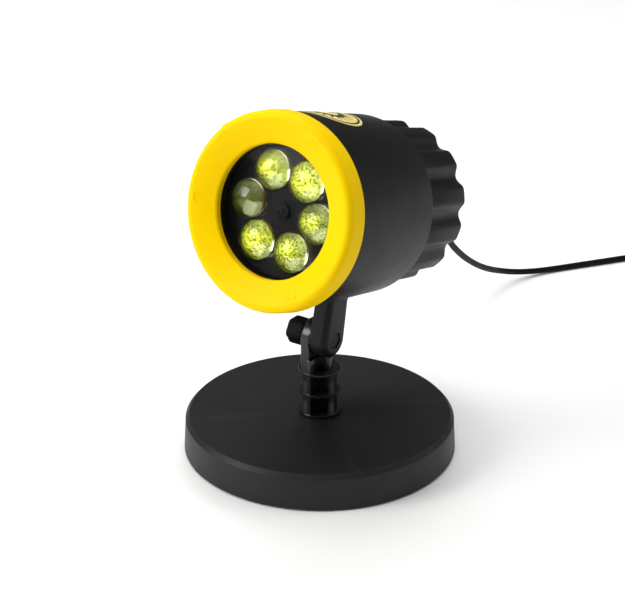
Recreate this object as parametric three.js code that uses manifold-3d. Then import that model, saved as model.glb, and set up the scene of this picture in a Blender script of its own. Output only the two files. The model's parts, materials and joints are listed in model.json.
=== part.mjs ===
// Garden light projector on a round weighted base.
//
// Millimetres, +Z up. The origin is the centre of the base on the ground. The head looks along -Y,
// tilted up, and the clamp knob is on the -X side. Parts of the head are drawn in the head's own
// frame: its origin is the tilt pivot, its Y axis is the optical axis' direction (rearwards) and
// its Z axis points from the pivot to the optical axis.

import * as THREE from "three";
import { mergeVertices } from "three/addons/utils/BufferGeometryUtils.js";
import Module from "manifold-3d";

const wasm = await Module();
wasm.setup();

// ---------------------------------------------------------------- driving dimensions

const GAP = 0.3; // clearance between pieces that touch
const DEG = Math.PI / 180;

// Base
const BASE_RADIUS = 75;
const BASE_TOP_RADIUS = 73.7;
const BASE_HEIGHT = 20.3;
const BASE_EDGE_ROUND = 2;
const BASE_LIFT = 0.8; // the shell's rim stands this far off the ground
const BASE_WALL = 2.6;
const PAD_RADIUS = 66;
const PAD_TOP = 2;
const COVER_RADIUS = 71.8;
const COVER_TOP = 4.3;
const BALLAST_RADIUS = 68;
const BALLAST_TOP = 11.8;
const BALLAST_BORE = 16;
const COVER_SCREW_CIRCLE = 58;

// Stem
const PIVOT_HEIGHT = 65.1;
const PLUG_WIDTH = 15;
const PLUG_BOTTOM = 9.5;
const SOCKET_WIDTH = 20;
const SOCKET_BOTTOM = 6.6;
const RING_RADIUS = 11.7;
const RING_THICKNESS = 1.4;
const RING_HEIGHTS = [21.3, 33.6, 46.2];
const RIB_REACH = 10.8;
const RIB_THICKNESS = 2.4;
const EAR_RADIUS = 10;
const EAR_INNER_X = -0.4;
const EAR_OUTER_X = -6.2;
const BOLT_HOLE = 2.8;

// Head: where the optical axis is, and the stations along it, counted from the bezel's front
const HEAD_TILT = 13.8;
const HEAD_X = 4;
const AXIS_HEIGHT = 73.4;
const HEAD_FRONT_Y = -72.8;
const BEZEL_DEPTH = 11.35;
const BEZEL_RADIUS = 51.2;
const APERTURE_RADIUS = 34.2;
const BARREL_FRONT = 11.7;
const BARREL_REAR = 81.4;
const BARREL_FRONT_RADIUS = 50.3;
const BARREL_REAR_RADIUS = 48;
const BARREL_WALL = 2.8;
const NECK_RADIUS = 47.6;
const NECK_FRONT = 8.8;
const CAP_FRONT = BARREL_REAR + GAP;
const CAP_REAR = 126.9;
const CAP_FRONT_RADIUS = 44.6;
const CAP_REAR_RADIUS = 43.9;
const CAP_LOBES = 13;
const CAP_LOBE_PHASE = 15 * DEG;
const CAP_LOBE_WIDTH = 12 * DEG;
const CAP_SCALLOP_DEPTH = 3.4;
const CAP_EDGE_ROUND = 4;
const CAP_WALL = 2.4;
const CAP_SCREW_CIRCLE = 36.6;

// Optics
const WINDOW_RADIUS = 43;
const TUBE_RADIUS = 37.6;
const TUBE_BORE = 35.6;
const TUBE_REAR = 60;
const WHEEL_RADIUS = 34.3;
const WHEEL_FRONT = 15.2;
const WHEEL_REAR = 17;
const LENS_COUNT = 6;
const LENS_CIRCLE = 21.4;
const LENS_RADIUS = 10.1;
const LENS_RISE = 1.6;
const LENS_EDGE = 5.6; // most of it stands out of the wheel
const LENS_PHASE = 54 * DEG;
const MOTOR_RADIUS = 11;

// Arm and clamp
const ARM_INNER_X = 0.1;
const ARM_OUTER_X = 10.2;
const ARM_RADIUS = 10;
const ARM_ROUND = 3.6;
const KNOB_OUTER_X = -18;
const KNOB_RADIUS = 7.7;
const KNOB_LOBES = 6;

// Power lead. It lies in a frame turned about the origin, +Y being the way the lead runs off.
const LEAD_TURN = 34.9 * DEG;
const LEAD_RADIUS = 2;
const GLAND_REAR = 145.4;
const COIL_CENTRE = [263, 311];
const COIL_RADIUS = 24; // middle of its turns
const COIL_SECTION = 16.4;
const COIL_BOTTOM = 1.4;
const ADAPTER_CENTRE = [329, 280];
const ADAPTER_SIZE = [40, 50, 28];
const PIN_SPACING = 18.6;
const PIN_LENGTH = 19;

// Route of the lead in its frame, from the gland to the coil.
const LEAD_ROUTE = [
  [59.6, 78.4, 116.4],
  [65.8, 89.6, 108.4],
  [70.9, 102.6, 96.4],
  [75.2, 116.4, 81.6],
  [80.2, 131.4, 66.8],
  [88.4, 150.2, 51.8],
  [97.2, 169.6, 38.6],
  [107.6, 192.0, 25.4],
  [120.0, 215.6, 13.4],
  [133.8, 230.6, 6.2],
  [148.0, 239.4, 3.2],
  [162.0, 245.8, 2.3],
  [182.0, 253.6, 2.2],
  [204.0, 261.9, 2.2],
  [226.0, 270.4, 2.2],
  [248.6, 278.8, 2.8],
];

// ---------------------------------------------------------------- geometry helpers

/** Indexed geometry with shared vertices, no collapsed triangles, and its faces outward. */
function clean(geometry) {
  const bare = geometry.index ? geometry.toNonIndexed() : geometry;
  bare.deleteAttribute("normal");
  bare.deleteAttribute("uv");
  const merged = mergeVertices(bare, 1e-4);
  const position = merged.attributes.position;
  const corners = [new THREE.Vector3(), new THREE.Vector3(), new THREE.Vector3()];
  const triangles = [];
  let volume = 0;
  for (let i = 0; i < merged.index.count; i += 3) {
    const ids = [0, 1, 2].map((k) => merged.index.getX(i + k));
    if (new Set(ids).size < 3) continue;
    ids.forEach((id, k) => corners[k].fromBufferAttribute(position, id));
    volume += corners[0].dot(corners[1].clone().cross(corners[2]));
    triangles.push(ids);
  }
  merged.setIndex(triangles.flatMap(([a, b, c]) => (volume < 0 ? [a, c, b] : [a, b, c])));
  return merged;
}

/** Solid turned about the Y axis from [radius, height] pairs. */
function turned(profile, segments = 48) {
  return clean(new THREE.LatheGeometry(profile.map(([r, h]) => new THREE.Vector2(r, h)), segments));
}

/** Solid turned about the Z axis from [radius, height] pairs. */
function turnedUpright(profile, segments = 48) {
  return turned(profile, segments).rotateX(Math.PI / 2);
}

/** Cylinder along Y between two heights. */
function rod(radius, from, to, segments = 24) {
  return turned([[0, from], [radius, from], [radius, to], [0, to]], segments);
}

/** Cylinder along X between two positions. */
function crossRod(radius, from, to, segments = 24) {
  return rod(radius, from, to, segments).rotateZ(-Math.PI / 2);
}

/** Cylinder along Z between two heights. */
function post(radius, from, to, segments = 24) {
  return rod(radius, from, to, segments).rotateX(Math.PI / 2);
}

/** Ring with a rectangular section, turned about Y. */
function ring(inner, outer, from, to, segments = 48) {
  return turned([[inner, from], [outer, from], [outer, to], [inner, to], [inner, from]], segments);
}

/** Box between two corners. */
function block([x0, y0, z0], [x1, y1, z1]) {
  const box = new THREE.BoxGeometry(x1 - x0, y1 - y0, z1 - z0);
  return clean(box).translate((x0 + x1) / 2, (y0 + y1) / 2, (z0 + z1) / 2);
}

/** Points of an arc in a profile, both ends included. */
function arc(x, y, radius, from, to, steps) {
  const points = [];
  for (let i = 0; i <= steps; i += 1) {
    const angle = (from + ((to - from) * i) / steps) * DEG;
    points.push([x + radius * Math.cos(angle), y + radius * Math.sin(angle)]);
  }
  return points;
}

/** Prism along Z of an outline of [x, y] points, with an optional rounded edge inside its size. */
function prism(outline, from, to, round = 0, steps = 3) {
  const shape = new THREE.Shape(outline.map(([x, y]) => new THREE.Vector2(x, y)));
  const geometry = new THREE.ExtrudeGeometry(shape, {
    depth: to - from - 2 * round,
    steps: 1,
    bevelEnabled: round > 0,
    bevelThickness: round,
    bevelSize: round,
    bevelOffset: -round,
    bevelSegments: steps,
  });
  return clean(geometry).translate(0, 0, from + round);
}

/** Prism along X of an outline of [y, z] points. */
function crossPrism(outline, from, to, round = 0) {
  const turn = new THREE.Matrix4().makeBasis(
    new THREE.Vector3(0, 1, 0), new THREE.Vector3(0, 0, 1), new THREE.Vector3(1, 0, 0));
  return prism(outline, from, to, round).applyMatrix4(turn);
}

/** Regular polygon outline by its distance across flats. */
function polygon(sides, acrossFlats) {
  const radius = acrossFlats / 2 / Math.cos(Math.PI / sides);
  return arc(0, 0, radius, 0, 360 - 360 / sides, sides - 1);
}

/** Closed solid lofted through rings of equal length, both ends closed flat. */
function lofted(rings) {
  const count = rings[0].length;
  const middle = (points) =>
    [0, 1, 2].map((k) => points.reduce((sum, point) => sum + point[k], 0) / points.length);
  const vertices = [...rings.flat(), middle(rings[0]), middle(rings.at(-1))];
  const first = rings.length * count;
  const last = first + 1;
  const top = (rings.length - 1) * count;
  const index = [];
  for (let i = 0; i < count; i += 1) {
    const next = (i + 1) % count;
    for (let k = 0; k < rings.length - 1; k += 1) {
      const a = k * count + i;
      const b = k * count + next;
      index.push(a, b, b + count, a, b + count, a + count);
    }
    index.push(first, next, i, last, top + i, top + next);
  }
  const geometry = new THREE.BufferGeometry();
  geometry.setAttribute("position", new THREE.Float32BufferAttribute(vertices.flat(), 3));
  geometry.setIndex(index);
  return clean(geometry);
}

/** Tube of the given radius along a smooth curve through points. */
function tube(points, radius, sides, steps) {
  const curve = new THREE.CatmullRomCurve3(points.map((p) => new THREE.Vector3(...p)), false, "centripetal");
  const section = new THREE.Shape(arc(0, 0, radius, 0, 360 - 360 / sides, sides - 1).map(
    ([x, y]) => new THREE.Vector2(x, y)));
  return clean(new THREE.ExtrudeGeometry(section, { extrudePath: curve, steps }));
}

/** A geometry as a solid for joining and cutting. */
function solid(geometry) {
  return new wasm.Manifold(new wasm.Mesh({
    numProp: 3,
    vertProperties: geometry.attributes.position.array,
    triVerts: Uint32Array.from(geometry.index.array),
  }));
}

/** Joins the first list of geometries and cuts the second list from it. */
function carve(joined, cut = []) {
  const sum = joined.map(solid).reduce((whole, piece) => whole.add(piece));
  return shell(cut.map(solid).reduce((whole, piece) => whole.subtract(piece), sum));
}

/** The space that two geometries share. */
function common(a, b) {
  return shell(solid(a).intersect(solid(b)));
}

/** A solid as an indexed geometry. */
function shell(manifold) {
  const mesh = manifold.getMesh();
  const geometry = new THREE.BufferGeometry();
  geometry.setAttribute("position", new THREE.BufferAttribute(mesh.vertProperties, 3));
  geometry.setIndex(new THREE.BufferAttribute(mesh.triVerts, 1));
  return geometry;
}

/** Copies a geometry to equal angles about Y, starting at an angle from +X towards +Z. */
function aroundAxis(geometry, count, start) {
  const copies = [];
  for (let i = 0; i < count; i += 1) {
    copies.push(geometry.clone().rotateY(-(start + (i * 2 * Math.PI) / count)));
  }
  return copies;
}

/** Position on a circle about the vertical axis. */
function onCircle(radius, angle) {
  return [radius * Math.cos(angle), radius * Math.sin(angle)];
}

// ---------------------------------------------------------------- materials

function finish(color, roughness, metalness = 0, opacity = 1) {
  return new THREE.MeshStandardMaterial({
    color, roughness, metalness, opacity, transparent: opacity < 1, flatShading: true,
  });
}

const BLACK_PLASTIC = [0x161616, 0.55];
const BLACK_RUBBER = [0x0c0c0c, 0.85];
const YELLOW_PLASTIC = [0xf6cf0a, 0.38];
const CLEAR_PLASTIC = [0xe6eef0, 0.06, 0, 0.35];
const STEEL = [0x8c8f92, 0.35, 1];
const BLACK_STEEL = [0x232324, 0.45, 1];
const CAST_IRON = [0x4a4a48, 0.7, 0.8];
const ALUMINIUM = [0xb4b7ba, 0.45, 1];
const BRASS = [0xb8963e, 0.35, 1];
const GREEN_BOARD = [0x1d5a34, 0.5];
const SLIDE_FILM = [0xb5b33a, 0.25];
const LED_YELLOW = [0xe8d24a, 0.4];
const LABEL = [0xe9dc8a, 0.45];

// ---------------------------------------------------------------- assembly

const projector = new THREE.Group();
projector.name = "light_projector";
const head = new THREE.Group();
head.position.set(HEAD_X, 0, PIVOT_HEIGHT);
head.rotation.x = -HEAD_TILT * DEG;
const optics = new THREE.Group(); // Y is the optical axis, from the bezel's front backwards
optics.position.set(0, HEAD_FRONT_Y, AXIS_HEIGHT);
head.add(optics);
const clamp = new THREE.Group(); // X is the tilt axis
clamp.position.set(0, 0, PIVOT_HEIGHT);
const lead = new THREE.Group();
lead.rotation.z = LEAD_TURN;
projector.add(head, clamp, lead);

function add(parent, name, geometry, [color, roughness, metalness, opacity]) {
  const mesh = new THREE.Mesh(geometry, finish(color, roughness, metalness, opacity));
  mesh.name = name;
  parent.add(mesh);
  return mesh;
}

// ---------------------------------------------------------------- base

const COVER_SCREWS = [45, 135, 225, 315].map((angle) => onCircle(COVER_SCREW_CIRCLE, angle * DEG));

function baseShell() {
  const underside = BASE_HEIGHT - BASE_WALL;
  const body = turnedUpright([
    [0, BASE_HEIGHT],
    ...arc(BASE_TOP_RADIUS - BASE_EDGE_ROUND, BASE_HEIGHT - BASE_EDGE_ROUND, BASE_EDGE_ROUND, 90, 0, 2),
    [BASE_RADIUS, BASE_LIFT],
    [BASE_RADIUS - BASE_WALL, BASE_LIFT],
    [BASE_TOP_RADIUS - BASE_WALL, underside],
    [0, underside],
  ], 48);
  const half = SOCKET_WIDTH / 2;
  const hole = PLUG_WIDTH / 2 + GAP;
  const socket = block([-half, -half, SOCKET_BOTTOM], [half, half, underside + 1]);
  const bosses = COVER_SCREWS.map(([x, y]) => post(4, COVER_TOP + GAP, underside + 1, 16).translate(x, y, 0));
  const pilots = COVER_SCREWS.map(([x, y]) => post(1.6, COVER_TOP, 14, 12).translate(x, y, 0));
  return carve([body, socket, ...bosses], [
    block([-hole, -hole, PLUG_BOTTOM - GAP], [hole, hole, BASE_HEIGHT + 1]),
    post(2.4, SOCKET_BOTTOM - 1, PLUG_BOTTOM, 16),
    ...pilots,
  ]);
}

function ballastPlate() {
  const plate = post(BALLAST_RADIUS, COVER_TOP + GAP, BALLAST_TOP, 48);
  const holes = COVER_SCREWS.map(([x, y]) => post(5, COVER_TOP - 1, BALLAST_TOP + 1, 16).translate(x, y, 0));
  return carve([plate], [post(BALLAST_BORE, COVER_TOP - 1, BALLAST_TOP + 1, 24), ...holes]);
}

function bottomCover() {
  const bottom = PAD_TOP + GAP;
  const holes = COVER_SCREWS.flatMap(([x, y]) => [
    post(1.6, bottom - 1, COVER_TOP + 1, 12).translate(x, y, 0),
    post(3.6, bottom - 1, bottom + 1.4, 14).translate(x, y, 0),
  ]);
  return carve([post(COVER_RADIUS, bottom, COVER_TOP, 48)], holes);
}

function screw(headRadius, headHeight, shankRadius, length) {
  return turned([
    [0, 0], [headRadius, 0], [headRadius, headHeight], [shankRadius, headHeight],
    [shankRadius, length - shankRadius], [0, length],
  ], 12);
}

add(projector, "base_shell", baseShell(), BLACK_PLASTIC);
add(projector, "ballast_plate", ballastPlate(), CAST_IRON);
add(projector, "bottom_cover", bottomCover(), BLACK_PLASTIC);
add(projector, "foot_pad", post(PAD_RADIUS, 0, PAD_TOP, 48), BLACK_RUBBER);
COVER_SCREWS.forEach(([x, y], i) => {
  const piece = screw(3.2, 1, 1.2, 10).rotateX(Math.PI / 2);
  add(projector, `cover_screw_${i + 1}`, piece, STEEL).position.set(x, y, PAD_TOP + GAP + 0.1);
});

// ---------------------------------------------------------------- stem

function stemPost() {
  const half = PLUG_WIDTH / 2;
  const web = RIB_THICKNESS / 2;
  const foot = BASE_HEIGHT + GAP;
  const topRing = RING_HEIGHTS.at(-1);
  const stubTop = PIVOT_HEIGHT - ARM_RADIUS - 2 * GAP;
  const stubReach = 7.3;
  const ringHalf = RING_THICKNESS / 2;
  const rings = RING_HEIGHTS.map((z) => post(RING_RADIUS, z - ringHalf, z + ringHalf, 28));
  const earFoot = block([EAR_OUTER_X, -EAR_RADIUS, topRing], [EAR_INNER_X, EAR_RADIUS, PIVOT_HEIGHT]);
  const earDisc = crossRod(EAR_RADIUS, EAR_OUTER_X, EAR_INNER_X, 32).translate(0, 0, PIVOT_HEIGHT);
  return carve([
    block([-half, -half, PLUG_BOTTOM], [half, half, foot + 0.5]),
    ...rings,
    block([-RIB_REACH, -web, foot], [RIB_REACH, web, topRing]),
    block([-web, -RIB_REACH, foot], [web, RIB_REACH, topRing]),
    block([EAR_OUTER_X + 1, -web, topRing], [stubReach, web, stubTop]),
    block([-web, -RIB_REACH, topRing], [web, RIB_REACH, stubTop]),
    earFoot,
    earDisc,
  ], [
    post(2.2, PLUG_BOTTOM - 1, 19, 16),
    crossRod(BOLT_HOLE, EAR_OUTER_X - 1, EAR_INNER_X + 1, 24).translate(0, 0, PIVOT_HEIGHT),
  ]);
}

const stemScrew = screw(3.9, 1.6, 1.85, 13).rotateX(Math.PI / 2);
add(projector, "stem_post", stemPost(), BLACK_PLASTIC);
add(projector, "stem_screw", stemScrew, STEEL).position.z = SOCKET_BOTTOM - GAP - 1.6;

// ---------------------------------------------------------------- clamp

function knobOutline() {
  const points = [];
  const perLobe = 5;
  for (let i = 0; i < KNOB_LOBES * perLobe; i += 1) {
    const angle = (i / (KNOB_LOBES * perLobe)) * 2 * Math.PI;
    const radius = KNOB_RADIUS - 0.55 + 0.55 * Math.cos(KNOB_LOBES * angle);
    points.push(onCircle(radius, angle));
  }
  return points;
}

const WASHER_THICKNESS = 1;
const KNOB_INNER_X = EAR_OUTER_X - 2 * GAP - WASHER_THICKNESS;
const INSERT_FLATS = 8;
const INSERT_LENGTH = 6;
const BOLT_HEAD_X = ARM_OUTER_X - 4.1;
const BOLT_HEAD_HEIGHT = 3.5;
const BOLT_RADIUS = 2.4;
const BOLT_END_X = -15.5;

function clampKnob() {
  const body = crossPrism(knobOutline(), KNOB_OUTER_X, KNOB_INNER_X, 1.4);
  const pocketEnd = KNOB_INNER_X - INSERT_LENGTH - GAP;
  const pocket = crossPrism(polygon(6, INSERT_FLATS + 2 * GAP), pocketEnd, KNOB_INNER_X + 1);
  const bore = crossRod(BOLT_RADIUS + 0.4, BOLT_END_X - 0.7, KNOB_INNER_X, 20);
  return carve([body], [pocket, bore]);
}

function knobInsert() {
  const nut = crossPrism(polygon(6, INSERT_FLATS), KNOB_INNER_X - INSERT_LENGTH, KNOB_INNER_X - 0.2);
  return carve([nut], [crossRod(BOLT_RADIUS + 0.35, KNOB_INNER_X - INSERT_LENGTH - 1, KNOB_INNER_X + 1, 20)]);
}

function clampBolt() {
  const hexHead = crossPrism(polygon(6, 8), BOLT_HEAD_X, BOLT_HEAD_X + BOLT_HEAD_HEIGHT);
  return carve([hexHead, crossRod(BOLT_RADIUS, BOLT_END_X, BOLT_HEAD_X + 1, 20)]);
}

const washer = carve(
  [crossRod(5.2, KNOB_INNER_X + GAP, KNOB_INNER_X + GAP + WASHER_THICKNESS, 28)],
  [crossRod(BOLT_HOLE, KNOB_INNER_X, EAR_OUTER_X, 24)]);
add(clamp, "clamp_knob", clampKnob(), BLACK_PLASTIC);
add(clamp, "knob_insert", knobInsert(), BRASS);
add(clamp, "clamp_washer", washer, STEEL);
add(clamp, "clamp_bolt", clampBolt(), BLACK_STEEL).rotation.x = head.rotation.x;

// ---------------------------------------------------------------- barrel

/** Barrel's outer radius at a station behind the bezel's front. */
function barrelRadius(station) {
  const part = (station - BARREL_FRONT) / (BARREL_REAR - BARREL_FRONT);
  return BARREL_FRONT_RADIUS + part * (BARREL_REAR_RADIUS - BARREL_FRONT_RADIUS);
}

const SEAT_RADIUS = WINDOW_RADIUS + 0.4;
const SEAT_REAR = 13.7;
const SEAT_BORE = TUBE_RADIUS + 0.9;
const BOSS_FRONT = 62;
const BOSS_REAR = 75.9;
const LUG_COUNT = 3;
const LUG_WIDTH = 12 * DEG;
const LUG_FRONT = 9.9;
const LUG_REAR = 11;
const LUG_REACH = 46.9;
const LUG_PHASE = 90 * DEG;
const BEZEL_TURN = 30 * DEG; // how far the bezel turns to come off
const BEZEL_CREASE_RADIUS = 41.5; // the front face is steeper inside this circle
const TAB_ANGLE = 133 * DEG; // pointer on the bezel's rim
const BADGE_RADIUS = 18;
const BADGE_STATION = 44;

/** Wedge of a ring about Y between two angles, from +X towards +Z. */
function ringWedge(inner, outer, from, to, start, end) {
  const sweep = end - start;
  const steps = Math.max(2, Math.ceil(sweep / (9 * DEG)));
  const outline = [];
  for (let i = 0; i <= steps; i += 1) outline.push(onCircle(outer, start + (sweep * i) / steps));
  for (let i = steps; i >= 0; i -= 1) outline.push(onCircle(inner, start + (sweep * i) / steps));
  return prism(outline, -to, -from).rotateX(Math.PI / 2);
}

/** Layer on the barrel between two distances from its surface, turned about Y. */
function barrelLayer(inside, outside) {
  const front = BARREL_FRONT + 1;
  const rear = BARREL_REAR - 1;
  return turned([
    [barrelRadius(front) + inside, front], [barrelRadius(front) + outside, front],
    [barrelRadius(rear) + outside, rear], [barrelRadius(rear) + inside, rear],
    [barrelRadius(front) + inside, front],
  ], 48);
}

function badgeColumn(radius) {
  return post(radius, BARREL_REAR_RADIUS / 2, BARREL_FRONT_RADIUS + 5, 20).translate(0, BADGE_STATION, 0);
}

function bayonetSlots() {
  const side = LUG_WIDTH / 2 + 1.5 * DEG;
  const inner = LUG_REACH - 0.5;
  const outer = NECK_RADIUS + 1.4;
  const slots = [];
  for (let i = 0; i < LUG_COUNT; i += 1) {
    const middle = LUG_PHASE + (i * 2 * Math.PI) / LUG_COUNT;
    const last = middle + BEZEL_TURN;
    slots.push(ringWedge(inner, outer, LUG_FRONT - GAP, BARREL_FRONT, middle - side, last + side));
    slots.push(ringWedge(inner, outer, NECK_FRONT - 1, BARREL_FRONT, last - side, last + side));
  }
  return slots;
}

/** The arm with its rounded lower end; the side that meets the ear is cut flat. */
function armGeometry() {
  const top = AXIS_HEIGHT - BARREL_REAR_RADIUS + 4;
  const outline = [[8.2, top], ...arc(0, 0, ARM_RADIUS, 0, -180, 12), [-9.6, top]];
  const bar = crossPrism(outline, ARM_INNER_X - 2 * ARM_ROUND, ARM_OUTER_X, ARM_ROUND);
  const beyond = 3 * ARM_RADIUS;
  return carve([bar], [block([ARM_INNER_X - beyond, -beyond, -beyond], [ARM_INNER_X, beyond, beyond])]);
}

function barrelShell() {
  const bore = BARREL_REAR_RADIUS - BARREL_WALL;
  const outside = turned([
    [0, NECK_FRONT], [NECK_RADIUS, NECK_FRONT], [NECK_RADIUS, BARREL_FRONT],
    [BARREL_FRONT_RADIUS - 0.4, BARREL_FRONT], [BARREL_FRONT_RADIUS, BARREL_FRONT + 0.4],
    [BARREL_REAR_RADIUS, BARREL_REAR - 0.5], [BARREL_REAR_RADIUS - 0.5, BARREL_REAR], [0, BARREL_REAR],
  ], 48);
  const inside = turned([
    [0, NECK_FRONT - 1], [SEAT_RADIUS, NECK_FRONT - 1], [SEAT_RADIUS, SEAT_REAR], [SEAT_BORE, SEAT_REAR],
    [SEAT_BORE, SEAT_REAR + 2.4], [BARREL_FRONT_RADIUS - BARREL_WALL, SEAT_REAR + 2.4],
    [bore, BOSS_FRONT], [bore, BARREL_REAR + 1], [0, BARREL_REAR + 1],
  ], 36);
  const toOptics = [-HEAD_X, -HEAD_FRONT_Y, -AXIS_HEIGHT];
  const boltX = ARM_OUTER_X + 1;
  const bolt = [
    crossRod(BOLT_HOLE, ARM_INNER_X - 1, boltX, 24),
    crossPrism(polygon(6, 8 + 2 * GAP), BOLT_HEAD_X - GAP, boltX),
  ].map((geometry) => geometry.translate(...toOptics));
  const boss = carve([
    rod(4, BOSS_FRONT, BOSS_REAR, 10).translate(CAP_SCREW_CIRCLE, 0, 0),
    block([CAP_SCREW_CIRCLE, BOSS_FRONT, -2], [bore + 1, BOSS_REAR, 2]),
  ]);
  const pilot = rod(1.7, BOSS_FRONT - 1, BOSS_REAR + 1, 8).translate(CAP_SCREW_CIRCLE, 0, 0);
  const hollow = carve([outside, armGeometry().translate(...toOptics)], [
    inside,
    ...bolt,
    ...bayonetSlots(),
    common(badgeColumn(BADGE_RADIUS + GAP), barrelLayer(-0.6, 2)),
  ]);
  return carve([hollow, ...aroundAxis(boss, 4, 45 * DEG)], aroundAxis(pilot, 4, 45 * DEG));
}

add(optics, "barrel_shell", barrelShell(), BLACK_PLASTIC);
add(optics, "badge_plate", common(badgeColumn(BADGE_RADIUS), barrelLayer(-0.25, 0.25)), LABEL);

// ---------------------------------------------------------------- bezel

function bezelRing() {
  const skirt = NECK_RADIUS + 0.9;
  const outside = turned([
    [APERTURE_RADIUS, 8.4],
    [APERTURE_RADIUS, 5.5],
    [APERTURE_RADIUS + 0.7, 4.7],
    [BEZEL_CREASE_RADIUS, 1.9],
    ...arc(BEZEL_RADIUS - 3.3, 2.2, 2.2, 262, 354, 3),
    [BEZEL_RADIUS, BEZEL_DEPTH],
    [skirt, BEZEL_DEPTH],
    [skirt, 5.4],
    [46.6, 2.8],
    [APERTURE_RADIUS + 2.2, 7.2],
    [APERTURE_RADIUS + 2.2, 8.4],
    [APERTURE_RADIUS, 8.4],
  ], 48);
  const tab = ringWedge(BEZEL_RADIUS - 1.5, BEZEL_RADIUS + 0.5, 4, BEZEL_DEPTH,
    TAB_ANGLE - 2 * DEG, TAB_ANGLE + 2 * DEG);
  const lugs = [];
  for (let i = 0; i < LUG_COUNT; i += 1) {
    const middle = LUG_PHASE + (i * 2 * Math.PI) / LUG_COUNT;
    const start = middle - LUG_WIDTH / 2;
    lugs.push(ringWedge(LUG_REACH, skirt + 0.5, LUG_FRONT, LUG_REAR, start, start + LUG_WIDTH));
  }
  return carve([outside, tab, ...lugs]);
}

add(optics, "bezel_ring", bezelRing(), YELLOW_PLASTIC);

// ---------------------------------------------------------------- window, tube, slide and lenses

const TUBE_FLANGE_FRONT = 11.9;
const SLIDE_FRONT = 19.6;
const SLIDE_REAR = 20.8;
const SHAFT_RADIUS = 1.5;
const MOTOR_FRONT = 25.2;
const MOTOR_REAR = 42;
const CONDENSER_SEAT = 45.6;

function lensTube() {
  const ledge = 32.6;
  return turned([
    [TUBE_BORE, TUBE_FLANGE_FRONT], [WINDOW_RADIUS, TUBE_FLANGE_FRONT], [WINDOW_RADIUS, SEAT_REAR - GAP],
    [TUBE_RADIUS, SEAT_REAR - GAP], [TUBE_RADIUS, TUBE_REAR], [TUBE_BORE, TUBE_REAR],
    [TUBE_BORE, CONDENSER_SEAT], [ledge, CONDENSER_SEAT], [ledge, CONDENSER_SEAT - 1.6],
    [TUBE_BORE, CONDENSER_SEAT - 1.6], [TUBE_BORE, SLIDE_REAR + 2], [ledge, SLIDE_REAR + 2],
    [ledge, SLIDE_REAR + GAP], [TUBE_BORE, SLIDE_REAR + GAP], [TUBE_BORE, TUBE_FLANGE_FRONT],
  ], 32);
}

/** Bracket behind the slide: a ring held by the tube, a ring round the motor, three arms. */
function motorBracket() {
  const front = SLIDE_REAR + 2 + GAP;
  const rear = front + 3;
  const spoke = block([MOTOR_RADIUS + 1, front, -1.5], [TUBE_BORE - 1.5, rear, 1.5]);
  return carve([
    ring(TUBE_BORE - 2.6, TUBE_BORE - GAP, front, rear, 28),
    ring(MOTOR_RADIUS + GAP, MOTOR_RADIUS + 2.2, front, rear + 8, 16),
    ...aroundAxis(spoke, 3, 90 * DEG),
  ]);
}

function lensWheel() {
  const hole = rod(LENS_RADIUS + GAP, WHEEL_FRONT - 2, WHEEL_REAR + 1, 16).translate(LENS_CIRCLE, 0, 0);
  const collar = rod(LENS_RADIUS + 1.1, WHEEL_REAR - 0.5, WHEEL_REAR + 1, 16).translate(LENS_CIRCLE, 0, 0);
  return carve([
    rod(WHEEL_RADIUS, WHEEL_FRONT, WHEEL_REAR, 32),
    rod(4.6, 13.6, WHEEL_REAR + 2, 16),
    ...aroundAxis(collar, LENS_COUNT, LENS_PHASE),
  ], [
    ...aroundAxis(hole, LENS_COUNT, LENS_PHASE),
    rod(1.4, 13, WHEEL_REAR + 3, 10),
    rod(SHAFT_RADIUS + GAP, WHEEL_REAR, WHEEL_REAR + 3, 10),
  ]);
}

/** Plano-convex lens with its dome towards the front. */
function planoConvex(radius, rise, edge, front, segments, steps) {
  const ball = (radius * radius + rise * rise) / (2 * rise);
  const half = Math.asin(radius / ball) / DEG;
  return turned([
    ...arc(0, front + ball, ball, -90, -90 + half, steps),
    [radius, front + rise + edge],
    [0, front + rise + edge],
  ], segments);
}

add(optics, "front_window", rod(WINDOW_RADIUS, 8.7, 9.8, 36), CLEAR_PLASTIC);
add(optics, "window_gasket", ring(38.5, WINDOW_RADIUS, 10.1, TUBE_FLANGE_FRONT - GAP, 28), BLACK_RUBBER);
add(optics, "lens_tube", lensTube(), BLACK_PLASTIC);
add(optics, "slide_clamp_ring", ring(33.2, TUBE_BORE - GAP, SLIDE_FRONT - 1.2, SLIDE_FRONT - GAP, 28), STEEL);
const slideHole = rod(5, SLIDE_FRONT - 1, SLIDE_REAR + 1, 12);
const slide = rod(TUBE_BORE - 2 * GAP, SLIDE_FRONT, SLIDE_REAR, 28);
add(optics, "slide_disc", carve([slide], [slideHole]), SLIDE_FILM);
add(optics, "motor_bracket", motorBracket(), BLACK_PLASTIC);
add(optics, "wheel_motor", turned([
  [0, MOTOR_FRONT], [MOTOR_RADIUS, MOTOR_FRONT], [MOTOR_RADIUS, MOTOR_REAR], [3, MOTOR_REAR],
  [3, MOTOR_REAR + 1.5], [0, MOTOR_REAR + 1.5],
], 16), STEEL);
add(optics, "motor_shaft", rod(SHAFT_RADIUS, WHEEL_REAR + 0.2, MOTOR_FRONT - GAP, 10), STEEL);
const CONDENSER_RISE = 9;
const CONDENSER_EDGE = 2;
const condenser = planoConvex(35, CONDENSER_RISE, CONDENSER_EDGE, 0, 28, 3).rotateX(Math.PI)
  .translate(0, CONDENSER_SEAT + GAP + CONDENSER_RISE + CONDENSER_EDGE, 0);
add(optics, "condenser_lens", condenser, CLEAR_PLASTIC);
const retainerFront = CONDENSER_SEAT + CONDENSER_EDGE + 1.8;
const retainer = ring(33.2, TUBE_BORE - GAP, retainerFront, retainerFront + 1.4, 28);
add(optics, "condenser_retainer", retainer, STEEL);

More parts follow.
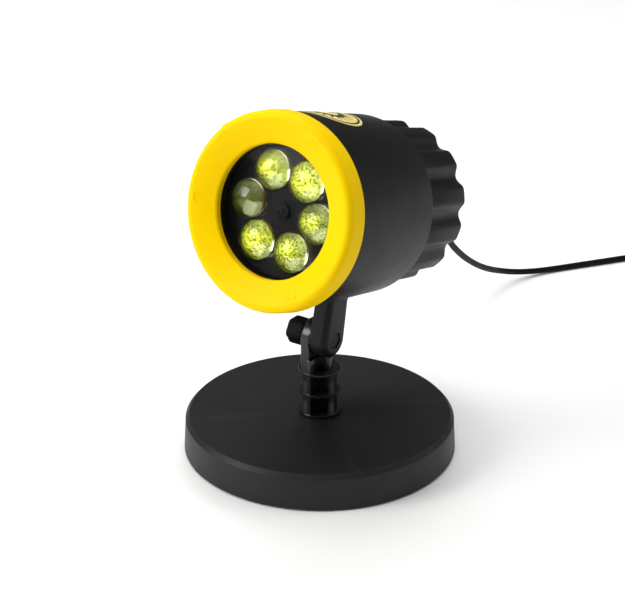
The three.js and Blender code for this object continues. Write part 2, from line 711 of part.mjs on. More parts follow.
add(optics, "lens_wheel", lensWheel(), BLACK_PLASTIC);
add(optics, "wheel_screw", carve(
  [turned([[0, 12.6], [2.4, 12.8], [2.4, 13.3], [1.1, 13.3], [1.1, WHEEL_REAR], [0, WHEEL_REAR]], 20)],
  [block([-1.5, 12, -0.3], [1.5, 12.9, 0.3]), block([-0.3, 12, -1.5], [0.3, 12.9, 1.5])]), STEEL);
const lensFront = WHEEL_REAR + GAP - LENS_RISE - LENS_EDGE;
const wheelLens = planoConvex(LENS_RADIUS, LENS_RISE, LENS_EDGE, lensFront, 16, 2).translate(LENS_CIRCLE, 0, 0);
aroundAxis(wheelLens, LENS_COUNT, LENS_PHASE).forEach((lens, i) => {
  add(optics, `wheel_lens_${i + 1}`, lens, CLEAR_PLASTIC);
});

// ---------------------------------------------------------------- lamp, electronics and rear cap

const SINK_FRONT = BOSS_REAR + GAP;
const SINK_PLATE = 2.6;
const SPIGOT_FRONT = SINK_FRONT + SINK_PLATE + GAP;
const CAP_SCREW_SEAT = 86.4;
const GLAND_HOLE = 6.3;
const BOARD_FRONT = 101;

/** Heat sink: a plate clamped between the barrel's bosses and the cap, with straight fins behind. */
function heatSink() {
  const finReach = 30;
  const fins = [];
  for (let x = -24; x <= 24; x += 8) {
    const half = Math.sqrt(finReach * finReach - x * x);
    fins.push(block([x - 1, SINK_FRONT + 1, -half], [x + 1, 96, half]));
  }
  const hole = rod(1.9, SINK_FRONT - 1, SPIGOT_FRONT, 8).translate(CAP_SCREW_CIRCLE, 0, 0);
  return carve([rod(44.6, SINK_FRONT, SINK_FRONT + SINK_PLATE, 32), ...fins], aroundAxis(hole, 4, 45 * DEG));
}

/** Driver board with its transformer, capacitor and controller chip. */
function driverBoard() {
  const top = BOARD_FRONT + 1.5;
  return carve([
    rod(31, BOARD_FRONT, top + 0.1, 28),
    block([-18, top, -6], [-4, top + 11, 8]),
    rod(4.5, top, top + 12, 14).translate(9, 0, 8),
    block([4, top, -14], [16, top + 2, -6]),
  ]);
}

/** Outline of the fluted cap: lobes on a circle with hollow scallops between them. */
function flutedOutline(radius, depth, station) {
  const pitch = (2 * Math.PI) / CAP_LOBES;
  const points = [];
  const lobeSteps = 1;
  const scallopSteps = 4;
  for (let i = 0; i < CAP_LOBES; i += 1) {
    const lobe = CAP_LOBE_PHASE + i * pitch - CAP_LOBE_WIDTH / 2;
    for (let k = 0; k < lobeSteps; k += 1) {
      const [x, z] = onCircle(radius, lobe + (k * CAP_LOBE_WIDTH) / lobeSteps);
      points.push([x, station, z]);
    }
    for (let k = 0; k < scallopSteps; k += 1) {
      const part = k / scallopSteps;
      const [x, z] = onCircle(radius - depth * Math.sin(Math.PI * part),
        lobe + CAP_LOBE_WIDTH + part * (pitch - CAP_LOBE_WIDTH));
      points.push([x, station, z]);
    }
  }
  return points;
}

function flutedRadius(station) {
  const part = (station - CAP_FRONT) / (CAP_REAR - CAP_FRONT);
  return CAP_FRONT_RADIUS + part * (CAP_REAR_RADIUS - CAP_FRONT_RADIUS);
}

function rearCap() {
  const edge = arc(0, 0, CAP_EDGE_ROUND, 0, 90, 2).map(([out, back]) => {
    const station = CAP_REAR - CAP_EDGE_ROUND + back;
    return flutedOutline(flutedRadius(station) - CAP_EDGE_ROUND + out, CAP_SCALLOP_DEPTH, station);
  });
  const outside = lofted([
    flutedOutline(flutedRadius(CAP_FRONT), CAP_SCALLOP_DEPTH, CAP_FRONT),
    ...edge,
  ]);
  const inside = lofted([CAP_FRONT + 2.4, CAP_REAR - CAP_WALL].map(
    (station) => flutedOutline(flutedRadius(station) - CAP_WALL, CAP_SCALLOP_DEPTH, station)));
  const tower = rod(5, CAP_FRONT, CAP_REAR, 8).translate(CAP_SCREW_CIRCLE, 0, 0);
  const headHole = rod(3.3, CAP_SCREW_SEAT, CAP_REAR + 1, 12).translate(CAP_SCREW_CIRCLE, 0, 0);
  const shankHole = rod(1.9, SPIGOT_FRONT - 1, CAP_SCREW_SEAT + 1, 8).translate(CAP_SCREW_CIRCLE, 0, 0);
  const towers = carve(aroundAxis(tower, 4, 45 * DEG));
  const walls = carve([outside], [inside, rod(38.4, CAP_FRONT - 1, CAP_FRONT + 3, 32)]);
  return carve([
    walls,
    common(towers, outside),
    ring(38.4, 44.6, SPIGOT_FRONT, CAP_FRONT + 0.5, 32),
  ], [
    ...aroundAxis(headHole, 4, 45 * DEG),
    ...aroundAxis(shankHole, 4, 45 * DEG),
    rod(GLAND_HOLE, CAP_REAR - CAP_WALL - 1, CAP_REAR + 1, 16),
  ]);
}

/** Strain relief: a flange inside the cap, a groove in its wall, a collar and a ribbed taper. */
function cableGland() {
  const inner = CAP_REAR - CAP_WALL - GAP;
  const outer = CAP_REAR + GAP;
  const ribs = [];
  const ribCount = 4;
  const pitch = (GLAND_REAR - outer - 3.4) / ribCount;
  for (let i = 0; i < ribCount; i += 1) {
    const start = outer + 2.4 + i * pitch;
    const radius = 5.2 - 0.42 * i;
    ribs.push([radius, start], [radius, start + 0.6 * pitch], [radius - 1, start + 0.62 * pitch]);
    ribs.push([radius - 1, start + pitch]);
  }
  return turned([
    [0, inner - 1.8], [8, inner - 1.8], [8, inner], [GLAND_HOLE - GAP, inner], [GLAND_HOLE - GAP, outer],
    [7.6, outer], [7.6, outer + 2], ...ribs, [2.9, GLAND_REAR - 1], [2.9, GLAND_REAR], [0, GLAND_REAR],
  ], 12);
}

add(optics, "led_board", rod(10, SINK_FRONT - 1.9, SINK_FRONT - GAP, 20), GREEN_BOARD);
add(optics, "led_emitter", planoConvex(3.2, 2, 0.6, SINK_FRONT - 2 - GAP - 2.6, 14, 3), LED_YELLOW);
add(optics, "heat_sink", heatSink(), ALUMINIUM);
add(optics, "driver_board", driverBoard(), GREEN_BOARD);
add(optics, "rear_cap", rearCap(), BLACK_PLASTIC);
const capScrew = screw(3, 2, 1.35, 19).rotateX(Math.PI)
  .translate(CAP_SCREW_CIRCLE, CAP_SCREW_SEAT + 2 + GAP, 0);
aroundAxis(capScrew, 4, 45 * DEG).forEach((piece, i) => add(optics, `cap_screw_${i + 1}`, piece, STEEL));
add(optics, "cable_gland", cableGland(), BLACK_RUBBER);

// ---------------------------------------------------------------- power lead

/** The gland's end in the lead's frame. */
function leadExit(beyond) {
  head.updateMatrixWorld(true);
  const point = optics.localToWorld(new THREE.Vector3(0, GLAND_REAR + beyond, 0));
  return lead.worldToLocal(point).toArray();
}

/** Coil of the spare lead: a ring whose section has cut corners. */
function cordCoil() {
  const half = COIL_SECTION / 2;
  const flat = half - 2;
  const section = [
    [half, -flat], [half, flat], [flat, half], [-flat, half],
    [-half, flat], [-half, -flat], [-flat, -half], [flat, -half], [half, -flat],
  ];
  return turnedUpright(section.map(([out, up]) => [COIL_RADIUS + out, up]), 40);
}

/** Tie band round the coil's section, on the side towards the projector. */
function coilTie() {
  const square = (half) => [[-half, -half], [half, -half], [half, half], [-half, half]];
  const inner = COIL_SECTION / 2 + GAP;
  return carve([crossPrism(square(inner + 0.9), -2.5, 2.5)], [crossPrism(square(inner), -3, 3)])
    .translate(0, -COIL_RADIUS, 0);
}

const [adapterWidth, adapterLength, adapterHeight] = ADAPTER_SIZE;
const ADAPTER_COVER_LENGTH = 9;
const RELIEF_LENGTH = 18;
const TAIL_HEIGHT = 9.6;

/** Length of the adapter's housing between two stations along its Y axis, with rounded edges. */
function brick(from, to) {
  const corner = 5;
  const outline = [0, 1, 2, 3].flatMap((quarter) => {
    const middle = (quarter + 0.5) * 90 * DEG;
    const x = Math.sign(Math.cos(middle)) * (adapterWidth / 2 - corner);
    const z = Math.sign(Math.sin(middle)) * (adapterHeight / 2 - corner);
    return arc(x, z, corner, quarter * 90, quarter * 90 + 90, 3);
  });
  return prism(outline, from, to, 1.6, 2).rotateX(-Math.PI / 2);
}

/** Strain relief of the adapter, tapering towards the lead. */
function adapterRelief() {
  const start = adapterLength / 2 + GAP;
  return turned([
    [0, start], [5.4, start], [5.4, start + 2], [3, start + RELIEF_LENGTH], [0, start + RELIEF_LENGTH],
  ], 16);
}

/** Pin of the adapter, pointing out of its front. */
function adapterPin() {
  const tip = -adapterLength / 2 - GAP - PIN_LENGTH;
  return turned([[0, tip], [1.4, tip], [2, tip + 0.8], [2, tip + PIN_LENGTH], [0, tip + PIN_LENGTH]], 14);
}

const [coilX, coilY] = COIL_CENTRE;
const [adapterX, adapterY] = ADAPTER_CENTRE;
const coil = new THREE.Group();
coil.position.set(coilX, coilY, COIL_BOTTOM + COIL_SECTION / 2);
const adapter = new THREE.Group();
adapter.position.set(adapterX, adapterY, GAP + adapterHeight / 2);
lead.add(coil, adapter);

const tailEnd = adapterY + adapterLength / 2 + RELIEF_LENGTH + 2 * GAP;
const adapterAxisHeight = GAP + adapterHeight / 2;
const turnMiddle = (coilX + COIL_RADIUS + adapterX) / 2 + 3;
const turnRadius = adapterX - turnMiddle;

/** Route of the short end from the coil's outer turn, round a half turn, to the adapter. */
function tailRoute() {
  const start = coilX + COIL_RADIUS + 7.4;
  const turnStart = coilY + 26;
  const bend = [150, 120, 90, 60, 30].map((angle) => {
    const [x, y] = onCircle(turnRadius, angle * DEG);
    return [turnMiddle + x, turnStart + y, TAIL_HEIGHT];
  });
  return [[start, coilY + 17, 7.6], [start, coilY + 23, TAIL_HEIGHT - 0.8], ...bend,
    [adapterX, tailEnd + 6, adapterAxisHeight - 1], [adapterX, tailEnd, adapterAxisHeight]];
}

const LEAD_SIDES = 8;
add(lead, "power_cord", tube([leadExit(GAP), ...LEAD_ROUTE], LEAD_RADIUS, LEAD_SIDES, 46), BLACK_RUBBER);
add(coil, "cord_coil", cordCoil(), BLACK_RUBBER);
add(coil, "coil_tie", coilTie(), BLACK_PLASTIC);
add(lead, "cord_tail", tube(tailRoute(), LEAD_RADIUS, LEAD_SIDES, 16), BLACK_RUBBER);
add(adapter, "adapter_relief", adapterRelief(), BLACK_RUBBER);
const seam = ADAPTER_COVER_LENGTH - adapterLength / 2;
add(adapter, "adapter_case", brick(seam + GAP, adapterLength / 2), BLACK_PLASTIC);
add(adapter, "adapter_cover", brick(-adapterLength / 2, seam), BLACK_PLASTIC);
add(adapter, "adapter_pin_1", adapterPin().translate(-PIN_SPACING / 2, 0, 0), STEEL);
add(adapter, "adapter_pin_2", adapterPin().translate(PIN_SPACING / 2, 0, 0), STEEL);

export default projector;
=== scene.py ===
"""Looks of the garden light projector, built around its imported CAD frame.

Shapes are drawn in millimetres in the local frame of the part that they belong to, and are placed
by a matrix taken from the frame's joints. Sizes are read from the CAD nodes where a node has them.
"""

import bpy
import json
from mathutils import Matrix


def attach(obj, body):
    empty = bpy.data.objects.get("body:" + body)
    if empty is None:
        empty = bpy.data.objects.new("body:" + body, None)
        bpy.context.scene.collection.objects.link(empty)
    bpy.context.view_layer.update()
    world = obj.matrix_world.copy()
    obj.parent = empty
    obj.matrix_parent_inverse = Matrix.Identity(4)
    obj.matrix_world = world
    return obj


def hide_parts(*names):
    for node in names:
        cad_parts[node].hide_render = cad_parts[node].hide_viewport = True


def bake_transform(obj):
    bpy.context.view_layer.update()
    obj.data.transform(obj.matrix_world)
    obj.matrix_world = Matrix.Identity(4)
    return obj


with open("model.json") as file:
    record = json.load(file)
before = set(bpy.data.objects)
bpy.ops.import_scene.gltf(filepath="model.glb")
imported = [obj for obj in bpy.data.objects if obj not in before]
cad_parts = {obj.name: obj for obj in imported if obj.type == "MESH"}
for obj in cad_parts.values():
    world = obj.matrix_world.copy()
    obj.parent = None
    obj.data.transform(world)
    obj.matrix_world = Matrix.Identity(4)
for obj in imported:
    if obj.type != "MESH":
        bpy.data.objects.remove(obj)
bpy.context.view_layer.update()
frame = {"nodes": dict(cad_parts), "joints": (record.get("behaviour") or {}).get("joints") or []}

import json
from math import asin, atan2, ceil, cos, degrees, hypot, pi, radians, sin, sqrt, tan

import bmesh
import bpy
from mathutils import Matrix, Vector

MM = 0.001
FINE = 192  # steps round the large turned pieces
MEDIUM = 72  # steps round the small ones


# ---- local frames

def joint(name):
    return next(j for j in frame["joints"] if j["name"] == name)


def located(point, rotation=Matrix.Identity(3)):
    """Matrix from millimetres in a local frame to metres in the row frame."""
    return Matrix.Translation(point) @ rotation.to_4x4() @ Matrix.Scale(MM, 4)


ACROSS = Vector((1, 0, 0))
REARWARD = -Vector(joint("bezel_turn")["axis"]).normalized()
HEAD_TURN = Matrix((ACROSS, REARWARD, ACROSS.cross(REARWARD))).transposed()
PIVOT = Vector(joint("head_tilt")["pos_m"])

OPTICS = located(Vector(joint("bezel_turn")["pos_m"]), HEAD_TURN)  # +Y runs back from the bezel's front
HEAD = located(PIVOT, HEAD_TURN)  # the same axes at the tilt pivot
CLAMP = located(PIVOT)  # +X is the tilt axis
GROUND = located(Vector((0, 0, 0)))
LEAD_TURN = radians(34.9)
LEAD = GROUND @ Matrix.Rotation(LEAD_TURN, 4, "Z")
UPRIGHT = Matrix.Rotation(pi / 2, 4, "X")  # turns a solid's Y axis up


def local_points(node, place):
    back = place.inverted()
    return [back @ vertex.co for vertex in frame["nodes"][node].data.vertices]


def span(node, place, axis):
    """Lowest and highest coordinate of a CAD node along a local axis."""
    values = [point[axis] for point in local_points(node, place)]
    return min(values), max(values)


def reach(node, place, axis):
    """Largest distance of a CAD node from a local axis."""
    u, v = [k for k in range(3) if k != axis]
    return max(hypot(point[u], point[v]) for point in local_points(node, place))


X, Y, Z = range(3)


# ---- shapes: (vertices, faces)

ON_AXIS = 1e-6


def polar(radius, angle):
    return radius * cos(angle), radius * sin(angle)


def rod(radius, start, end):
    """Profile of a plain cylinder, for lathe."""
    return [(0, start), (radius, start), (radius, end), (0, end)]


def lathe(profile, segments=FINE):
    """Solid turned about Y from (radius, height) points, closed by its ends on the axis or by itself."""
    vertices, rows, faces = [], [], []
    for radius, height in profile:
        if radius < ON_AXIS:
            rows.append([len(vertices)] * segments)
            vertices.append(Vector((0, height, 0)))
            continue
        rows.append(list(range(len(vertices), len(vertices) + segments)))
        for i in range(segments):
            x, z = polar(radius, 2 * pi * i / segments)
            vertices.append(Vector((x, height, z)))
    pairs = list(zip(rows, rows[1:]))
    if profile[0][0] > ON_AXIS:
        pairs.append((rows[-1], rows[0]))
    for low, high in pairs:
        for i in range(segments):
            j = (i + 1) % segments
            corners = list(dict.fromkeys([low[i], low[j], high[j], high[i]]))
            if len(corners) > 2:
                faces.append(corners)
    return vertices, faces


def loft(rings, closed=False):
    """Solid through rings of points, with a flat face at each end or the last joined to the first."""
    count = len(rings[0])
    vertices = [Vector(point) for ring in rings for point in ring]
    faces = [] if closed else [list(range(count)), list(range(len(vertices) - count, len(vertices)))]
    for k in range(len(rings) if closed else len(rings) - 1):
        low, high = k * count, (k + 1) % len(rings) * count
        for i in range(count):
            j = (i + 1) % count
            faces.append([low + i, low + j, high + j, high + i])
    return vertices, faces


def joined(*shapes):
    vertices, faces = [], []
    for more_vertices, more_faces in shapes:
        first = len(vertices)
        vertices += more_vertices
        faces += [[first + i for i in face] for face in more_faces]
    return vertices, faces


def moved(shape, matrix):
    return [matrix @ vertex for vertex in shape[0]], shape[1]


def shifted(shape, x=0, y=0, z=0):
    return moved(shape, Matrix.Translation((x, y, z)))


def around(shape, count, start=0.0):
    """Copies turned about Y, the first at an angle from +X towards +Z, in degrees."""
    return [moved(shape, Matrix.Rotation(-radians(start + 360 * i / count), 4, "Y"))
            for i in range(count)]


def rounded(points, steps=5):
    """A polyline whose corners given as (x, y, radius) are rounded off."""
    result = []
    for i, point in enumerate(points):
        if len(point) == 2 or i in (0, len(points) - 1):
            result.append(tuple(point[:2]))
            continue
        corner = Vector(point[:2])
        before = Vector(points[i - 1][:2]) - corner
        after = Vector(points[i + 1][:2]) - corner
        cut = point[2] / tan(max(before.angle(after), 0.05) / 2)
        cut = min(cut, 0.49 * before.length, 0.49 * after.length)
        start = corner + before.normalized() * cut
        end = corner + after.normalized() * cut
        for k in range(steps + 1):
            t = k / steps
            result.append(tuple(start * (1 - t) ** 2 + corner * 2 * t * (1 - t) + end * t ** 2))
    return result


def arc(x, y, radius, start, end, steps):
    """Points round a centre from one angle to another, in degrees."""
    points = [polar(radius, radians(start + (end - start) * i / steps)) for i in range(steps + 1)]
    return [(x + u, y + v) for u, v in points]


def regular(sides, across_flats):
    radius = across_flats / 2 / cos(pi / sides)
    return arc(0, 0, radius, 0, 360 - 360 / sides, sides - 1)


def inset(outline, distance):
    """An outline moved inwards by a distance, point by point along its normals."""
    area = sum(a[0] * b[1] - b[0] * a[1] for a, b in zip(outline, outline[1:] + outline[:1]))
    side = 1 if area > 0 else -1
    result = []
    for i, point in enumerate(outline):
        before = Vector(point) - Vector(outline[i - 1])
        after = Vector(outline[(i + 1) % len(outline)]) - Vector(point)
        normals = [Vector((-edge.y, edge.x)).normalized() * side for edge in (before, after)]
        middle = (normals[0] + normals[1]).normalized()
        result.append(tuple(Vector(point) + middle * distance / max(middle.dot(normals[0]), 0.3)))
    return result


def prism(outline, start, end, along=X, round_start=0.3, round_end=0.3, steps=4):
    """Prism of an outline along a local axis, with each end's edge rounded inside its size."""
    turns = [pi / 2 * k / steps for k in range(steps + 1)]
    stations = [(round_start * (1 - sin(turn)), start + round_start * (1 - cos(turn)))
                for turn in turns]
    stations += [(round_end * (1 - sin(turn)), end - round_end * (1 - cos(turn)))
                 for turn in reversed(turns)]
    return loft([[(*point[:along], height, *point[along:]) for point in inset(outline, distance)]
                 for distance, height in stations])


def rectangle(x0, y0, x1, y1, corner=0.6):
    points = [(x0, y0, corner), (x1, y0, corner), (x1, y1, corner), (x0, y1, corner)]
    return rounded([points[-1], *points, points[0]])[1:-1]


# ---- pieces

def linked(name, data):
    """A new object in the scene."""
    made = bpy.data.objects.new(name, data)
    bpy.context.scene.collection.objects.link(made)
    return made


def smooth(mesh, sharp):
    """Smooth shading but for the edges above an angle."""
    mesh.shade_smooth()
    mesh.set_sharp_from_angle(angle=radians(sharp))


def mesh_object(name, shape, sharp=32):
    """Object of a shape in millimetres, its faces outward."""
    vertices, faces = shape
    mesh = bpy.data.meshes.new(name)
    mesh.from_pydata(vertices, [], faces)
    build = bmesh.new()
    build.from_mesh(mesh)
    bmesh.ops.recalc_face_normals(build, faces=build.faces)
    build.to_mesh(mesh)
    build.free()
    smooth(mesh, sharp)
    return linked(name, mesh)


def declare(made, place, body, material, replaces=()):
    """Puts a piece in its place, with its material and CAD body, and hides the CAD nodes it stands for."""
    made.data.transform(place)
    made.data.materials.clear()
    made.data.materials.append(material)
    if body:
        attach(made, body)
    if replaces:
        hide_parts(*replaces)
    return made


def piece(name, shape, place, body, material, replaces=(), sharp=32):
    return declare(mesh_object(name, shape, sharp), place, body, material, replaces)


def combine_object(made, operation, other, sharp=32):
    """Joins another object to an object, cuts it from it or keeps what they share; the other one goes."""
    modifier = made.modifiers.new("combine", "BOOLEAN")
    modifier.operation = operation
    modifier.solver = "MANIFOLD"
    modifier.object = other
    bpy.context.view_layer.update()
    evaluated = made.evaluated_get(bpy.context.evaluated_depsgraph_get())
    result = bpy.data.meshes.new_from_object(evaluated)
    made.modifiers.clear()
    made.data = result
    bpy.data.objects.remove(other)
    smooth(result, sharp)


def combine(made, operation, *shapes, sharp=32):
    """combine_object with each shape in turn."""
    for shape in shapes:
        combine_object(made, operation, mesh_object("tool", shape), sharp)


def refined(name, node, body, material, width, sharp=28):
    """A piece made from a CAD node, its flat faces joined up and its edges rounded."""
    mesh = frame["nodes"][node].data.copy()
    build = bmesh.new()
    build.from_mesh(mesh)
    bmesh.ops.remove_doubles(build, verts=build.verts, dist=1e-6)
    bmesh.ops.dissolve_limit(build, angle_limit=radians(1), verts=build.verts, edges=build.edges)
    build.to_mesh(mesh)
    build.free()
    smooth(mesh, sharp)
    made = linked(name, mesh)
    edges = made.modifiers.new("edges", "BEVEL")
    edges.width = width * MM
    edges.segments = 3
    edges.limit_method = "ANGLE"
    edges.angle_limit = radians(sharp)
    edges.harden_normals = True
    return declare(made, Matrix(), body, material, (node,))


# ---- camera

CAMERA_POSITION = Vector((0.4705, -0.6748, 0.4486))
CAMERA_DIRECTION = Vector((-0.5271, 0.7482, -0.4029))

camera_data = bpy.data.cameras.new("camera")
camera_data.lens = 96.6
camera_data.sensor_width = 36
camera_data.clip_start = 0.01
camera = linked("camera", camera_data)
camera.location = CAMERA_POSITION
camera.rotation_euler = CAMERA_DIRECTION.to_track_quat("-Z", "Y").to_euler()
bpy.context.scene.camera = camera


# ---- materials

def is_output(value):
    return isinstance(value, bpy.types.NodeSocket)


def add_node(tree, kind, values=None, **settings):
    """A shader node with its settings and input values; a value may be another node's output."""
    made = tree.nodes.new(kind)
    for name, value in settings.items():
        setattr(made, name, value)
    for name, value in (values or {}).items():
        if is_output(value):
            tree.links.new(value, made.inputs[name])
        else:
            made.inputs[name].default_value = value
    return made


def new_material(name, **values):
    """A material, its node tree, its shader with some values set, and its object coordinates."""
    material = bpy.data.materials.new(name)
    material.use_nodes = True
    tree = material.node_tree
    shader = tree.nodes["Principled BSDF"]
    for key, value in values.items():
        shader.inputs[key.replace("_", " ")].default_value = value
    return material, tree, shader, add_node(tree, "ShaderNodeTexCoord").outputs["Object"]


def noise(tree, where, scale, detail=3.0, roughness=0.55, stretch=None):
    """Noise of about 1 / scale metres; stretch scales the coordinates first."""
    if stretch:
        where = add_node(tree, "ShaderNodeMapping", {"Vector": where, "Scale": stretch}).outputs[0]
    values = {"Vector": where, "Scale": scale, "Detail": detail, "Roughness": roughness}
    return add_node(tree, "ShaderNodeTexNoise", values).outputs["Fac"]


def ranged(tree, value, low, high, out_low, out_high):
    values = {"Value": value, "From Min": low, "From Max": high, "To Min": out_low, "To Max": out_high}
    return add_node(tree, "ShaderNodeMapRange", values).outputs["Result"]


def spread(tree, value, low, high):
    """A noise's usual values, stretched from low to high."""
    return ranged(tree, value, 0.3, 0.7, low, high)


def mixed(tree, share, a, b):
    """Colour a where share is 0, b where it is 1; inputs 6 and 7 are the node's colours."""
    a, b = [colour if is_output(colour) else (*colour, 1) for colour in (a, b)]
    return add_node(tree, "ShaderNodeMix", {0: share, 6: a, 7: b}, data_type="RGBA").outputs[2]


def math_node(tree, operation, a, b):
    return add_node(tree, "ShaderNodeMath", {0: a, 1: b}, operation=operation).outputs[0]


def bump(tree, shader, height, depth):
    """Relief of a depth in millimetres."""
    values = {"Height": height, "Distance": depth * MM, "Strength": 1.0}
    tree.links.new(add_node(tree, "ShaderNodeBump", values).outputs["Normal"], shader.inputs["Normal"])


def surface(tree, shader, colour, roughness, height, depth):
    tree.links.new(colour, shader.inputs["Base Color"])
    tree.links.new(roughness, shader.inputs["Roughness"])
    bump(tree, shader, height, depth)


def moulded(name, dark, light, rough, grain=1400, depth=0.03, edge_wear_and_highlight=0.0, **values):
    """Moulded plastic: cloudy colour, grained surface, and paler edges where the edge amount is above 0,
    partly worn plastic and partly a painted highlight along the edges.
    """
    material, tree, shader, where = new_material(name, **values)
    clouds = spread(tree, noise(tree, where, 22, 4), 0, 1)
    colour = mixed(tree, clouds, dark, light)
    # Paler edges from pointiness: partly worn plastic, partly a painted highlight where the edges would catch
    # the light.
    if edge_wear_and_highlight:
        edges = add_node(tree, "ShaderNodeNewGeometry").outputs["Pointiness"]
        worn_and_highlit = math_node(tree, "MULTIPLY", ranged(tree, edges, 0.52, 0.6, 0, edge_wear_and_highlight),
                           noise(tree, where, 160, 5))
        colour = mixed(tree, worn_and_highlit, colour, [min(1, 3.2 * part + 0.02) for part in light])
    texture = noise(tree, where, grain, 4, 0.6)
    smears = noise(tree, where, 60, 3)
    roughness = math_node(tree, "ADD", spread(tree, smears, *rough),
                          spread(tree, texture, -0.03, 0.03))
    surface(tree, shader, colour, roughness, texture, depth)
    return material


def metal(name, colour, rough):
    """Bare or plated metal with fine drawn lines and a little tarnish."""
    material, tree, shader, where = new_material(name, Metallic=1.0)
    tarnish = ranged(tree, noise(tree, where, 90, 5), 0.35, 0.75, 0, 1)
    lines = noise(tree, where, 300, 5, 0.6, (1, 1, 14))
    surface(tree, shader, mixed(tree, tarnish, colour, [0.72 * part for part in colour]),
            spread(tree, lines, rough - 0.08, rough + 0.1), lines, 0.004)
    return material


def clear(name, tint, ior, roughness, alpha=1.0):
    """Clear moulded plastic or glass with faint flow marks."""
    material, tree, shader, where = new_material(name, IOR=ior, Transmission_Weight=1.0, Alpha=alpha)
    flow = noise(tree, where, 60, 2, 0.5, (1, 1, 3))
    surface(tree, shader, mixed(tree, flow, tint, [0.96 * part for part in tint]),
            spread(tree, flow, roughness, roughness + 0.004), flow, 0.002)
    return material


# The paler edges of these plastics are partly wear, partly a painted edge highlight.
BLACK = moulded("black_plastic", (0.0055, 0.0055, 0.0056), (0.0075, 0.0075, 0.0076), (0.4, 0.47), edge_wear_and_highlight=0.2,
                Specular_IOR_Level=0.2)
BASE_BLACK = moulded("base_plastic", (0.009, 0.009, 0.0092), (0.012, 0.012, 0.0122), (0.46, 0.53),
                     grain=900, depth=0.05, edge_wear_and_highlight=0.25, Specular_IOR_Level=0.32)
STEM_BLACK = moulded("stem_plastic", (0.006, 0.006, 0.006), (0.008, 0.008, 0.008), (0.22, 0.28), edge_wear_and_highlight=0.2,
                     Specular_IOR_Level=0.5)
KNOB_BLACK = moulded("knob_plastic", (0.004, 0.004, 0.004), (0.006, 0.006, 0.006), (0.5, 0.6), edge_wear_and_highlight=0.1,
                     Specular_IOR_Level=0.08)
WHEEL_BLACK = moulded("wheel_plastic", (0.005, 0.005, 0.0056), (0.007, 0.007, 0.0078), (0.36, 0.44),
                      depth=0.01, Specular_IOR_Level=0.1)
RUBBER = moulded("rubber", (0.006, 0.006, 0.006), (0.011, 0.011, 0.011), (0.6, 0.75), grain=700, depth=0.04,
                 Specular_IOR_Level=0.3)
JACKET = moulded("cord_jacket", (0.003, 0.003, 0.003), (0.005, 0.005, 0.005), (0.5, 0.6),
                 grain=500, depth=0.02, Specular_IOR_Level=0.1)
ADAPTER_BLACK = moulded("adapter_plastic", (0.009, 0.009, 0.0095), (0.013, 0.013, 0.0135), (0.5, 0.62),
                        grain=1100, depth=0.06, edge_wear_and_highlight=0.3, Specular_IOR_Level=0.3)
YELLOW = moulded("yellow_plastic", (0.97, 0.63, 0.0), (0.99, 0.66, 0.0005), (0.34, 0.42),
                 grain=600, depth=0.006, Specular_IOR_Level=0.05)
STEEL = metal("zinc_steel", (0.62, 0.63, 0.65), 0.32)
DARK_STEEL = metal("blackened_steel", (0.025, 0.025, 0.027), 0.45)
NICKEL = metal("nickel", (0.72, 0.69, 0.64), 0.18)
BRASS = metal("brass", (0.72, 0.5, 0.2), 0.3)
ALUMINIUM = metal("aluminium", (0.7, 0.71, 0.73), 0.36)
IRON = moulded("cast_iron", (0.05, 0.05, 0.05), (0.1, 0.095, 0.09), (0.6, 0.8), grain=420, depth=0.2,
               Metallic=0.7)
LENS = clear("lens_plastic", (0.80, 0.86, 0.52), 1.49, 0.0)
WINDOW = clear("window_plastic", (0.98, 0.99, 1.0), 1.45, 0.02, alpha=0.1)


def slide_material():
    """Printed film whose colour is also emitted: a painted yellow-green glow behind each lens, standing in
    for the LED's light shining through, broken by fine dark specks.
    """
    material, tree, shader, where = new_material("slide_film", Roughness=0.3)
    glow = 0.0
    for offset, size, strength in PAINTED_GLOW_SPOTS:
        centre = OPTICS @ Vector((offset[0], SLIDE_FRONT, offset[1]))
        distance = add_node(tree, "ShaderNodeVectorMath", {0: where, 1: centre}, operation="DISTANCE")
        spot = ranged(tree, distance.outputs["Value"], 0, size * MM, strength, 0)
        glow = math_node(tree, "ADD", glow, spot)
    specks = ranged(tree, noise(tree, where, 1300, 3, 0.65), 0.43, 0.53, 0.1, 1)
    clouds = spread(tree, noise(tree, where, 260, 3), 0.55, 1.2)
    level = math_node(tree, "MULTIPLY", glow, clouds)
    warm = mixed(tree, ranged(tree, level, 0.15, 0.9, 0, 1), (0.20, 0.25, 0.0), (0.98, 0.95, 0.10))
    share = math_node(tree, "MULTIPLY", ranged(tree, level, 0, 0.4, 0, 1), specks)
    colour = mixed(tree, share, (0.004, 0.005, 0.001), warm)
    # The slide glows though it is no lamp: painted light for the LED shining through it.
    tree.links.new(colour, shader.inputs["Base Color"])
    tree.links.new(colour, shader.inputs["Emission Color"])
    shader.inputs["Emission Strength"].default_value = 1.7
    return material


def circuit_material():
    """Green board with copper tracks under its mask."""
    material, tree, shader, where = new_material("circuit_board", Roughness=0.4)
    cells = add_node(tree, "ShaderNodeTexVoronoi", {"Vector": where, "Scale": 420.0},
                     feature="DISTANCE_TO_EDGE").outputs["Distance"]
    tracks = ranged(tree, cells, 0.04, 0.06, 1, 0)
    tree.links.new(mixed(tree, tracks, (0.01, 0.09, 0.03), (0.03, 0.2, 0.07)), shader.inputs["Base Color"])
    bump(tree, shader, tracks, 0.03)
    return material


LENS_COUNT = 6
LENS_PHASE = 54
LENS_CIRCLE = 21.4
LENS_RADIUS = 10.1
SLIDE_FRONT, SLIDE_BACK = 19.6, 20.8
# Strength of the painted glow behind each lens and of the painted hot spot in it.
PAINTED_GLOW_LEVELS = ((1.0, 0.5), (0.6, 0.6), (0.12, 0.1), (0.75, 0.8), (0.6, 0.5), (0.5, 0.6))


